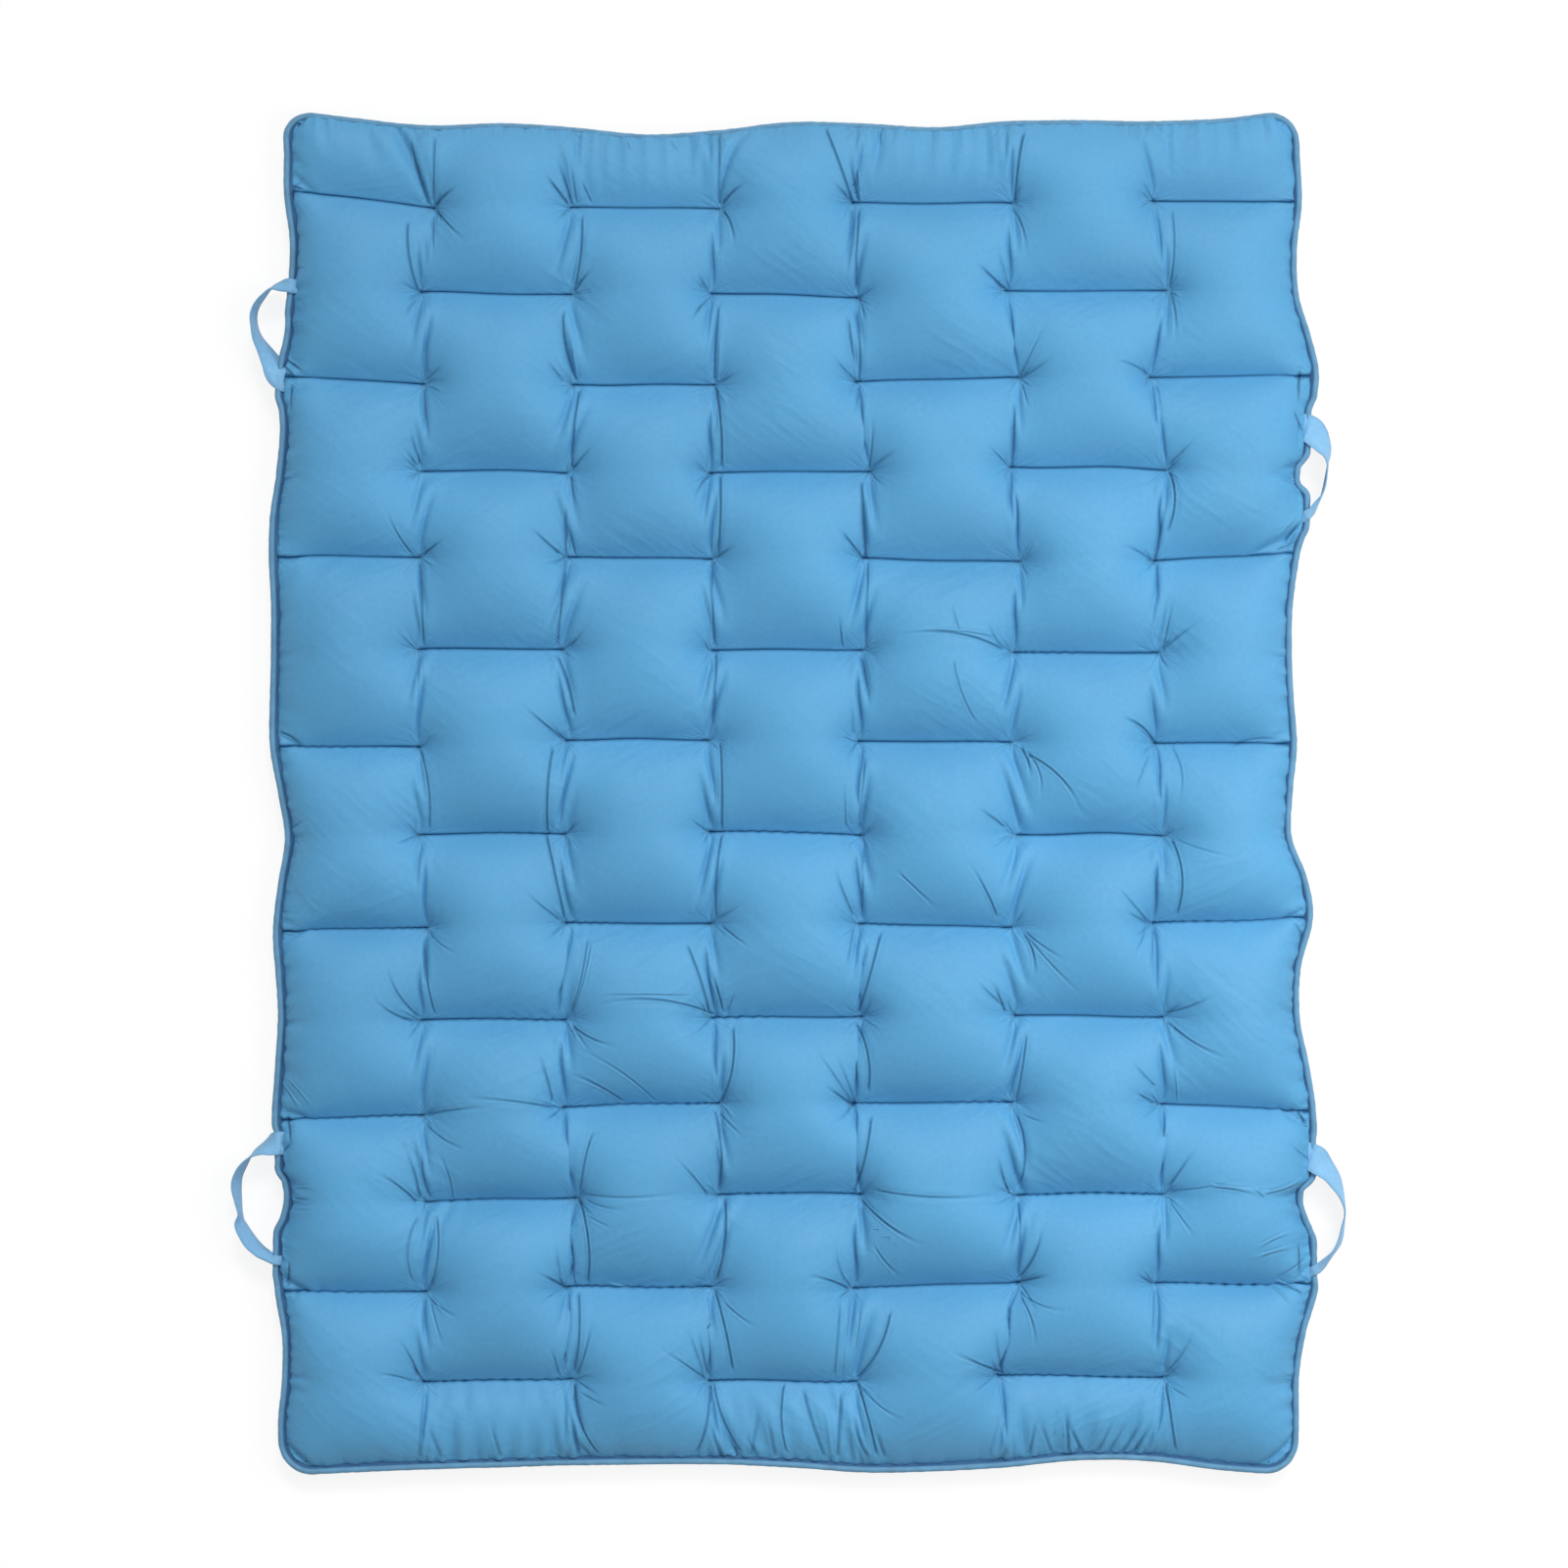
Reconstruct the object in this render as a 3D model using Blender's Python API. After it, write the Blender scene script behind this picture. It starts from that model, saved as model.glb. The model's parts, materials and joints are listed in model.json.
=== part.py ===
"""Quilted patient transfer pad with four webbing grab loops, lying flat on its underside.

Metres, +Z up. X runs across the pad and Y along it, with the rear end at +Y. The origin is on the surface
that the pad lies on, under the middle of the pad.
"""

import math

import bpy
import numpy as np
from mathutils import Vector

# The pad, measured over its edge piping
PAD_WIDTH = 0.914
PAD_LENGTH = 1.219
CORNER_RADIUS = 0.027
CORNER_STEPS = 4

# The quilting: a column has a seam in every second row, and the next column has its seams in the rows between
QUILT_COLUMNS = 7
QUILT_ROWS = 15

# How plump the pad is. The puffs under it are pressed flat where they lie.
TOP_PUFF = 0.034
UNDER_PUFF = 0.026
PRESSED_DEPTH = 0.008
ROUNDNESS_SHARE = 0.58

# The covers and the fill between them
COVER_THICKNESS = 0.0015
CLEARANCE = 0.0003
EDGE_MARGIN = 0.018

# The corded piping sewn in all round the edge
BEAD_DIAMETER = 0.0055
BEAD_STEPS = 6
FLANGE_WIDTH = 0.009
FLANGE_THICKNESS = 0.0008
GROOVE_WIDTH = 0.0012

# The webbing of the grab loops
STRAP_WIDTH = 0.025
STRAP_THICKNESS = 0.0015
SEWN_LENGTH = 0.010
SEWN_CORNER = 0.002
STRAP_STEPS = 20
LOOP_TWIST = math.radians(70)
TWIST_TURN = math.radians(60)
ROOT_STRAIGHT = 0.002
LOOP_REACH = 0.035

# How far the edge wanders outward, as shares of EDGE_WAVE, at each half row or half column
EDGE_WAVE = 0.018
LEFT_SHARES = (
    -0.10, -0.20, -0.20, -0.50, -0.35, -0.20, 0.20, 0.00, 0.20, 0.50, 0.55, 0.45, 0.45, 0.50, 0.50, 0.10,
    -0.25, 0.10, 0.35, 0.20, 0.10, 0.25, 0.40, 0.20, -0.20, 0.35, 0.25, -0.10, -0.10, 0.10, 0.00,
)
RIGHT_SHARES = (
    0.00, 0.05, 0.15, -0.10, 0.00, 0.60, 1.00, 0.60, 0.05, 0.55, 0.05, -0.30, -0.35, -0.25, -0.10, -0.30,
    -0.35, 0.40, 0.70, 0.10, 0.05, 0.50, 0.85, 0.85, 0.20, 0.85, 1.00, 0.35, 0.00, 0.00, -0.05,
)
REAR_SHARES = (
    0.15, -0.25, -0.60, -0.50, -0.70, -1.05, -0.85, -0.45, -0.50, -0.70, -0.40, -0.35, -0.40, -0.25, 0.15,
)
FRONT_SHARES = (
    0.15, 0.00, -0.15, -0.25, -0.35, -0.40, -0.40, -0.25, 0.00, -0.05, -0.25, -0.60, -0.55, -0.10, 0.10,
)
STATIONS_PER_ROW = 3
STATIONS_PER_COLUMN = 3

# Each grab loop: its side (-1 left, 1 right), the quilt rows, counted from the rear, where its two ends are
# sewn in, the shares of EDGE_WAVE by which the edge stands out there, and its share of LOOP_REACH
GRAB_LOOPS = {
    "left_rear": (-1, (1.98, 2.98), (-0.35, 0.15), 0.83),
    "left_front": (-1, (11.42, 12.58), (0.25, 0.35), 1.00),
    "right_rear": (1, (3.56, 4.44), (0.60, 0.55), 0.69),
    "right_front": (1, (11.55, 12.72), (0.85, 0.90), 0.77),
}

# Sizes that follow from the ones above
BEAD_RADIUS = BEAD_DIAMETER / 2
HALF_WIDTH = PAD_WIDTH / 2 - BEAD_RADIUS
HALF_LENGTH = PAD_LENGTH / 2 - BEAD_RADIUS
COLUMN_WIDTH = 2 * HALF_WIDTH / QUILT_COLUMNS
ROW_LENGTH = 2 * HALF_LENGTH / QUILT_ROWS
ABOVE_SEAM = FLANGE_THICKNESS / 2 + CLEARANCE + STRAP_THICKNESS + CLEARANCE
BELOW_SEAM = FLANGE_THICKNESS / 2 + CLEARANCE
SEAM_HEIGHT = BELOW_SEAM + COVER_THICKNESS + UNDER_PUFF - PRESSED_DEPTH
COVER_INSET = BEAD_RADIUS + GROOVE_WIDTH
SEWN_GAP = BEAD_RADIUS + CLEARANCE
ROOT_HALF = STRAP_WIDTH / 2 + ROOT_STRAIGHT


def smooth_through(shares, place):
    """The value at place (counted in steps of the list) of a smooth curve through the list."""
    last = len(shares) - 1
    place = min(max(place, 0), last)
    k = min(int(place), last - 1)
    before, here, there, after = (shares[min(max(k + d, 0), last)] for d in (-1, 0, 1, 2))
    t = place - k
    slope_here, slope_there = (there - before) / 2, (after - here) / 2
    bend = t * t * (3 - 2 * t)
    return (
        here * (1 - bend) + there * bend
        + slope_here * t * (1 - t) ** 2 - slope_there * t * t * (1 - t)
    )


def row_height(row):
    """The Y of a quilt row, counted from the rear end."""
    return HALF_LENGTH - row * ROW_LENGTH


def side_wave(side, y):
    """How far a long edge stands out at height y. Where a loop end is sewn in, the edge is held straight."""
    row = (HALF_LENGTH - y) / ROW_LENGTH
    for loop_side, rows, shares, _ in GRAB_LOOPS.values():
        ends = [row_height(r) for r in rows]
        if side == loop_side and min(abs(y - end) for end in ends) <= ROOT_HALF + CLEARANCE:
            along = (y - ends[0]) / (ends[1] - ends[0])
            return EDGE_WAVE * (shares[0] + (shares[1] - shares[0]) * along)
    return EDGE_WAVE * smooth_through(LEFT_SHARES if side < 0 else RIGHT_SHARES, 2 * row)


def end_wave(end, x):
    """How far a short edge stands out at x."""
    column = (x + HALF_WIDTH) / COLUMN_WIDTH
    return EDGE_WAVE * smooth_through(REAR_SHARES if end > 0 else FRONT_SHARES, 2 * column)


def settled(x, y):
    """Where a point of the flat, square-cut pad lies once the filled pad has drawn its edges in and out."""
    across, along = x, y
    for sign in (-1, 1):
        near_side = max(0, 1 - (HALF_WIDTH - sign * x) / COLUMN_WIDTH)
        near_end = max(0, 1 - (HALF_LENGTH - sign * y) / ROW_LENGTH)
        across += sign * near_side * side_wave(sign, y)
        along += sign * near_end * end_wave(sign, x)
    return across, along


def side_stations(side):
    """The Y of the outline's points down a long edge, with one straight run under each sewn-in strap end."""
    step = ROW_LENGTH / STATIONS_PER_ROW
    straight = HALF_LENGTH - CORNER_RADIUS
    count = int(2 * straight / step)
    stations = [straight - 2 * straight * k / count for k in range(1, count)]
    for loop_side, rows, _, _ in GRAB_LOOPS.values():
        if loop_side != side:
            continue
        for root in map(row_height, rows):
            stations = [y for y in stations if abs(y - root) > ROOT_HALF + step / 4]
            stations += [root - ROOT_HALF, root + ROOT_HALF]
    return sorted(stations)


def flat_outline():
    """The middle of the bead as sewn, before the pad settles: a rectangle with round corners, anticlockwise."""
    straight = HALF_WIDTH - CORNER_RADIUS
    count = int(2 * straight / (COLUMN_WIDTH / STATIONS_PER_COLUMN))
    across = [straight - 2 * straight * k / count for k in range(1, count)]
    corners = ((1, 1), (-1, 1), (-1, -1), (1, -1))
    sides = (
        [(x, HALF_LENGTH) for x in across],
        [(-HALF_WIDTH, y) for y in reversed(side_stations(-1))],
        [(-x, -HALF_LENGTH) for x in across],
        [(HALF_WIDTH, y) for y in side_stations(1)],
    )
    outline = []
    for quarter, ((sx, sy), side) in enumerate(zip(corners, sides)):
        for k in range(CORNER_STEPS + 1):
            angle = (quarter + k / CORNER_STEPS) * math.pi / 2
            outline.append((
                sx * (HALF_WIDTH - CORNER_RADIUS) + CORNER_RADIUS * math.cos(angle),
                sy * (HALF_LENGTH - CORNER_RADIUS) + CORNER_RADIUS * math.sin(angle),
            ))
        outline += side
    return outline


def outward(ring):
    """For each point of a closed anticlockwise ring, the outward vector that moves both its edges out by one."""
    ring = np.array(ring)
    ahead = np.roll(ring, -1, axis=0) - ring
    ahead /= np.linalg.norm(ahead, axis=1)[:, None]
    normal = np.stack([ahead[:, 1], -ahead[:, 0]], axis=1)
    both = normal + np.roll(normal, 1, axis=0)
    return 2 * both / (both * both).sum(axis=1)[:, None]


def quilt_lines(half, count, margin):
    """The grid's places along one direction: at each seam line, midway between, and near both edges."""
    lines = {half - margin, margin - half}
    lines |= {-half + half * k / count for k in range(1, 2 * count)}
    return sorted(lines)


def puff_shares(xs, ys):
    """The height of each grid point, as a share of the highest, of a skin that is blown up between the seams.

    It is the shape of a soap film under pressure, held down along the seams and the edge, made rounder.
    """
    xs = np.array([-HALF_WIDTH, *xs, HALF_WIDTH])
    ys = np.array([-HALF_LENGTH, *ys, HALF_LENGTH])
    wide, long = len(xs), len(ys)
    reach = CLEARANCE
    pull = np.zeros((wide * long, wide * long))
    load = np.zeros(wide * long)
    for i in range(wide):
        for j in range(long):
            at = i * long + j
            column = (xs[i] + HALF_WIDTH) / COLUMN_WIDTH
            row = (HALF_LENGTH - ys[j]) / ROW_LENGTH
            on_row = abs(row - round(row)) * ROW_LENGTH < reach
            on_line = abs(column - round(column)) * COLUMN_WIDTH < reach
            sewn = on_row and (on_line or (int(column) + round(row)) % 2 == 1)
            if sewn or i in (0, wide - 1) or j in (0, long - 1):
                pull[at, at] = 1
                continue
            half_x, half_y = (xs[i + 1] - xs[i - 1]) / 2, (ys[j + 1] - ys[j - 1]) / 2
            for other, strength in (
                (at - long, half_y / (xs[i] - xs[i - 1])),
                (at + long, half_y / (xs[i + 1] - xs[i])),
                (at - 1, half_x / (ys[j] - ys[j - 1])),
                (at + 1, half_x / (ys[j + 1] - ys[j])),
            ):
                pull[at, at] += strength
                pull[at, other] -= strength
            load[at] = half_x * half_y
    film = np.linalg.solve(pull, load).reshape(wide, long)[1:-1, 1:-1]
    return (np.maximum(film, 0) / film.max()) ** ROUNDNESS_SHARE


def held_down(x, y):
    """The share of its puff that a point near a long edge keeps beside a sewn-in strap end."""
    keep = 1
    for side, rows, _, _ in GRAB_LOOPS.values():
        inside = HALF_WIDTH - side * x
        for root in map(row_height, rows):
            near = math.exp(-(((y - root) / STRAP_WIDTH) ** 2)) * math.exp(-((inside / STRAP_WIDTH) ** 2))
            keep = min(keep, 1 - near)
    return keep


def ring_place(point, corner_x, corner_y):
    """How far round the rectangle with these half sides a point lies, anticlockwise from its (+X, +Y) corner."""
    x = min(max(point[0], -corner_x), corner_x)
    y = min(max(point[1], -corner_y), corner_y)
    if y >= corner_y:
        return corner_x - x
    if x <= -corner_x:
        return 2 * corner_x + corner_y - y
    if y <= -corner_y:
        return 3 * corner_x + 2 * corner_y + x
    return 4 * corner_x + 3 * corner_y + y


def band(outer, inner, outer_places, inner_places):
    """Triangles that fill the strip between two closed rings of point numbers, matched by place."""
    triangles = []
    i = j = 0
    while i < len(outer) or j < len(inner):
        next_outer = outer_places[i + 1] if i < len(outer) else math.inf
        next_inner = inner_places[j + 1] if j < len(inner) else math.inf
        a, b = outer[i % len(outer)], inner[j % len(inner)]
        if next_outer < next_inner:
            i += 1
            triangles.append((a, outer[i % len(outer)], b))
        else:
            j += 1
            triangles.append((a, inner[j % len(inner)], b))
    return triangles


class QuiltedSheet:
    """One triangulated plan that both covers and the fill share, so that their faces stay parallel."""

    def __init__(self):
        xs = quilt_lines(HALF_WIDTH, QUILT_COLUMNS, EDGE_MARGIN)
        ys = quilt_lines(HALF_LENGTH, QUILT_ROWS, EDGE_MARGIN)
        shares = puff_shares(xs, ys)
        number = np.arange(len(xs) * len(ys)).reshape(len(xs), len(ys))
        self.plan = [settled(x, y) for x in xs for y in ys]
        self.puff = [shares[i, j] * held_down(x, y) for i, x in enumerate(xs) for j, y in enumerate(ys)]
        self.filled = []
        for i in range(len(xs) - 1):
            for j in range(len(ys) - 1):
                a, b, c, d = number[i, j], number[i + 1, j], number[i + 1, j + 1], number[i, j + 1]
                if self.puff[a] + self.puff[c] >= self.puff[b] + self.puff[d]:
                    self.filled += [(a, b, c), (a, c, d)]
                else:
                    self.filled += [(a, b, d), (b, c, d)]
        self.fill_ring = [
            *number[::-1, -1], *number[0, -2::-1], *number[1:, 0], *number[-1, 1:-1],
        ]
        corner_x, corner_y = xs[-1], ys[-1]
        flat = flat_outline()
        places = [ring_place(point, corner_x, corner_y) for point in flat]
        start = places.index(min(places))
        flat, places = flat[start:] + flat[:start], places[start:] + places[:start]
        self.bead = [settled(x, y) for x, y in flat]
        inset = np.array(self.bead) - COVER_INSET * outward(self.bead)
        self.cover_ring = list(range(len(self.plan), len(self.plan) + len(flat)))
        self.plan += [tuple(point) for point in inset]
        self.puff += [0] * len(flat)
        whole = 4 * (corner_x + corner_y)
        inner_flat = [(xs[n // len(ys)], ys[n % len(ys)]) for n in self.fill_ring]
        self.margin = band(
            self.cover_ring,
            self.fill_ring,
            places + [whole],
            [ring_place(p, corner_x, corner_y) for p in inner_flat] + [whole],
        )

    def top(self, puff):
        """The height of the top cover's outside at a puff share."""
        return SEAM_HEIGHT + ABOVE_SEAM + COVER_THICKNESS + TOP_PUFF * puff

    def under(self, puff):
        """The height of the bottom cover's outside at a puff share, pressed flat where it lies."""
        return max(0, SEAM_HEIGHT - BELOW_SEAM - COVER_THICKNESS - UNDER_PUFF * puff)

    def layer(self, name, height, lift_upper, lift_lower, ring, triangles, material, lower_height=None):
        """A closed layer between two heights over the plan, walled in along a ring."""
        used = sorted({n for triangle in triangles for n in triangle})
        place = {n: k for k, n in enumerate(used)}
        lower_height = lower_height or height
        upper = [(*self.plan[n], height(self.puff[n]) + lift_upper) for n in used]
        lower = [(*self.plan[n], lower_height(self.puff[n]) + lift_lower) for n in used]
        below = len(used)
        faces = [tuple(place[n] for n in t) for t in triangles]
        faces += [tuple(place[n] + below for n in reversed(t)) for t in triangles]
        for a, b in zip(ring, [*ring[1:], ring[0]]):
            a, b = place[a], place[b]
            faces.append((a, a + below, b + below, b))
        return solid(name, upper + lower, faces, material)


def fabric_material(name, colour, roughness):
    """A plain woven finish."""
    material = bpy.data.materials.new(name)
    material.use_nodes = True
    shader = material.node_tree.nodes["Principled BSDF"]
    shader.inputs["Base Color"].default_value = (*colour, 1)
    shader.inputs["Roughness"].default_value = roughness
    shader.inputs["Metallic"].default_value = 0
    material.diffuse_color = (*colour, 1)
    return material


def solid(name, points, faces, material):
    """A mesh object at the world origin, shaded smooth."""
    mesh = bpy.data.meshes.new(name)
    mesh.from_pydata([tuple(map(float, p)) for p in points], [], [tuple(map(int, f)) for f in faces])
    mesh.materials.append(material)
    mesh.shade_smooth()
    mesh.set_sharp_from_angle(angle=math.radians(50))
    thing = bpy.data.objects.new(name, mesh)
    bpy.context.scene.collection.objects.link(thing)
    return thing


def piping_section():
    """The piping's section as (outward, up) points: a round bead with a flat sewing flange on its inner side."""
    half = FLANGE_THICKNESS / 2
    neck = math.pi - math.asin(half / BEAD_RADIUS)
    section = [(-FLANGE_WIDTH, half), (-FLANGE_WIDTH, -half)]
    for k in range(BEAD_STEPS + 1):
        angle = -neck + 2 * neck * k / BEAD_STEPS
        section.append((BEAD_RADIUS * math.cos(angle), BEAD_RADIUS * math.sin(angle)))
    return section


def build_piping(bead, material):
    """The piping: its section carried once round the edge."""
    section = piping_section()
    out = outward(bead)
    size = len(section)
    points = [
        (x + s * nx, y + s * ny, SEAM_HEIGHT + up)
        for (x, y), (nx, ny) in zip(bead, out)
        for s, up in section
    ]
    faces = []
    for k in range(len(bead)):
        here, there = k * size, (k + 1) % len(bead) * size
        for i in range(size):
            j = (i + 1) % size
            faces.append((here + i, there + i, there + j, here + j))
    return solid("edge_piping", points, faces, material)


class GrabLoop:
    """One webbing loop with its two sewn-in ends. It turns about the middle of the bead."""

    def __init__(self, name, side, rows, shares, reach_share):
        self.name = name
        self.reach = LOOP_REACH * reach_share
        self.roots = [
            Vector((side * (HALF_WIDTH + EDGE_WAVE * share), row_height(row), SEAM_HEIGHT))
            for row, share in zip(rows, shares)
        ]
        self.middle = (self.roots[0] + self.roots[1]) / 2
        self.half_span = (self.roots[0] - self.roots[1]).length / 2
        self.along = (self.roots[0] - self.roots[1]).normalized()
        self.out = Vector((self.along.y, -self.along.x, 0)) * side

    def place(self, out, along, up):
        """A point of the loop's own frame, measured from the middle of its hinge line."""
        return out * self.out + along * self.along + Vector((0, 0, up))

    def strap_station(self, angle):
        """The four corners of the strap's section, at an angle from 0 at the rear end to pi at the front."""
        depth = self.reach - SEWN_GAP
        centre = self.place(SEWN_GAP + depth * math.sin(angle), self.half_span * math.cos(angle), 0)
        run = self.place(depth * math.cos(angle), -self.half_span * math.sin(angle), 0).normalized()
        beside = self.place(self.half_span * math.sin(angle), depth * math.cos(angle), 0).normalized()
        turn = min(min(angle, math.pi - angle) / TWIST_TURN, 1)
        tilt = LOOP_TWIST * turn * turn * (3 - 2 * turn)
        across = beside * math.cos(tilt) + Vector((0, 0, math.sin(tilt)))
        face = run.cross(across)
        across, face = across * STRAP_WIDTH / 2, face * STRAP_THICKNESS / 2
        return [centre - across - face, centre + across - face, centre + across + face, centre - across + face]

    def build_strap(self, material):
        """The free part of the loop, with its origin on the hinge line."""
        stations = [self.strap_station(math.pi * k / STRAP_STEPS) for k in range(STRAP_STEPS + 1)]
        points = [corner for station in stations for corner in station]
        last = len(points) - 4
        faces = [(3, 2, 1, 0), (last, last + 1, last + 2, last + 3)]
        for k in range(STRAP_STEPS):
            for i in range(4):
                j = (i + 1) % 4
                faces.append((4 * k + i, 4 * k + j, 4 * k + 4 + j, 4 * k + 4 + i))
        strap = solid(f"handle_{self.name}", points, faces, material)
        strap.location = self.middle
        return strap

    def build_sewn_end(self, root, label, material):
        """One end of the webbing, flat between the covers and on the piping's flange, with its corners cut."""
        inner, half = -SEWN_GAP - SEWN_LENGTH, STRAP_WIDTH / 2
        outline = [
            (-SEWN_GAP, -half), (-SEWN_GAP, half), (inner + SEWN_CORNER, half), (inner, half - SEWN_CORNER),
            (inner, SEWN_CORNER - half), (inner + SEWN_CORNER, -half),
        ]
        low = FLANGE_THICKNESS / 2 + CLEARANCE
        points = [self.place(out, along, low) for out, along in outline]
        points += [self.place(out, along, low + STRAP_THICKNESS) for out, along in outline]
        size = len(outline)
        faces = [tuple(range(size))[::-1], tuple(range(size, 2 * size))]
        for i in range(size):
            j = (i + 1) % size
            faces.append((i, j, j + size, i + size))
        if self.out.cross(self.along).z < 0:
            faces = [face[::-1] for face in faces]
        end = solid(f"strap_end_{self.name}_{label}", points, faces, material)
        end.location = root
        return end


def build_pad():
    """Every piece of the pad."""
    cover_blue = fabric_material("quilt_cover_blue", (0.115, 0.345, 0.62), 0.55)
    under_blue = fabric_material("under_cover_blue", (0.10, 0.30, 0.56), 0.62)
    fill_white = fabric_material("fibre_fill_white", (0.86, 0.86, 0.84), 0.95)
    piping_blue = fabric_material("piping_blue", (0.15, 0.33, 0.52), 0.6)
    webbing_blue = fabric_material("webbing_blue", (0.27, 0.48, 0.80), 0.7)

    sheet = QuiltedSheet()
    covered = sheet.filled + sheet.margin
    thick = COVER_THICKNESS
    sheet.layer("top_cover", sheet.top, 0, -thick, sheet.cover_ring, covered, cover_blue)
    sheet.layer("bottom_cover", sheet.under, thick, 0, sheet.cover_ring, covered, under_blue)
    sheet.layer(
        "fibre_fill", sheet.top, -thick - CLEARANCE, thick + CLEARANCE, sheet.fill_ring, sheet.filled,
        fill_white, sheet.under,
    )
    build_piping(sheet.bead, piping_blue)
    for name, details in GRAB_LOOPS.items():
        loop = GrabLoop(name, *details)
        loop.build_strap(webbing_blue)
        for label, root in zip(("upper", "lower"), loop.roots):
            loop.build_sewn_end(root, label, webbing_blue)


for old in list(bpy.data.objects):
    bpy.data.objects.remove(old)
build_pad()
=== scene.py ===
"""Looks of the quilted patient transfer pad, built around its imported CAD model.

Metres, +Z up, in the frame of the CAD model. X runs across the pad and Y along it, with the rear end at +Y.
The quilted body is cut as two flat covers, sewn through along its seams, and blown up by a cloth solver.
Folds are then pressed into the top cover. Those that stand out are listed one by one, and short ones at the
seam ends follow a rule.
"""

from __future__ import annotations

import json
import logging
import math
from dataclasses import dataclass, field
from enum import Enum

import bmesh
import bpy
import numpy as np
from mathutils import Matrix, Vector

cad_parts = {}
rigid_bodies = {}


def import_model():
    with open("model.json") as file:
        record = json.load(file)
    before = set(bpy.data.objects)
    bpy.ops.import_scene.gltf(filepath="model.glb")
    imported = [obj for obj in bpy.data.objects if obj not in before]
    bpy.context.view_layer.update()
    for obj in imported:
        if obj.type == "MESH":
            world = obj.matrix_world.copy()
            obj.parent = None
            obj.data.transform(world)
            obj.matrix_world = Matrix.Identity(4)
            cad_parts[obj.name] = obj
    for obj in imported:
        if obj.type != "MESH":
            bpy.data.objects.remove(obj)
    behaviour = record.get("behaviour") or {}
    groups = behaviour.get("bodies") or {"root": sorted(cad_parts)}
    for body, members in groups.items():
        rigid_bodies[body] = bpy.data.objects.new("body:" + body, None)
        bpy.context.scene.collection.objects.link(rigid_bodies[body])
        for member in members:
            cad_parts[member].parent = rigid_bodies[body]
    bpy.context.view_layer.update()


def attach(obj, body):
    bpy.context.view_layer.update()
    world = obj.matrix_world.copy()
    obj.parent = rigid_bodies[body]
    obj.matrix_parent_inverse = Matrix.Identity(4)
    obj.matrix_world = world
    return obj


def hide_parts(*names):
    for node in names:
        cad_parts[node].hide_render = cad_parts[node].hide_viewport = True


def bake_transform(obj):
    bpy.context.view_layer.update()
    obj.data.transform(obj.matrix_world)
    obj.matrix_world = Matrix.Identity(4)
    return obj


LOG = logging.getLogger("transfer_pad")
NEAR_ZERO = 1e-9
Array = np.ndarray
Socket = bpy.types.NodeSocket


class Side(Enum):
    """A long side of the pad, as the sign of its X."""

    LEFT = -1
    RIGHT = 1


class Face(Enum):
    """A cover of the pad, as the way that it puffs."""

    TOP = 1
    UNDER = -1


def smooth_through(shares: Array, place: Array) -> Array:
    """Read a smooth curve through a list of values.

    Args:
        shares: The values, one for each whole place. Further axes are carried along.
        place: Where to read it, counted in places.

    Returns:
        The values of the curve there.
    """
    shares = np.asarray(shares, float)
    last = len(shares) - 1
    place = np.clip(place, 0, last)
    k = np.minimum(place.astype(int), last - 1)
    before, here, there, after = (shares[np.clip(k + d, 0, last)] for d in (-1, 0, 1, 2))
    t = place - k
    bend = t * t * (3 - 2 * t)
    slopes = (there - before) / 2 * t * (1 - t) ** 2 - (after - here) / 2 * t * t * (1 - t)
    return here * (1 - bend) + there * bend + slopes


def smooth_step(value: Array) -> Array:
    """Rise smoothly from 0 to 1 as the value does."""
    value = np.clip(value, 0, 1)
    return value * value * (3 - 2 * value)


@dataclass(frozen=True)
class StrapStation:
    """One place along a loop's strap, in millimetres and degrees.

    Fields:
        out, along, up: Its place, from the middle of the line on which the loop turns.
        turn: How far the strap is turned about its own length, 0 with its first face up.
        width: How wide it lies, less than its full width where it is folded together.
    """

    out: float
    along: float
    up: float
    turn: float
    width: float


@dataclass(frozen=True)
class LoopPlan:
    """Where one grab loop is sewn in, and the way that it stands."""

    name: str
    side: Side
    rows: tuple[float, float]
    edge_shares: tuple[float, float]
    pressed: tuple[float, float]
    stations: tuple[StrapStation, ...]


def strap_stations(*rows: tuple[float, ...]) -> tuple[StrapStation, ...]:
    """The stations of a loop from rows of their five values."""
    return tuple(StrapStation(*row) for row in rows)


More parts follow.
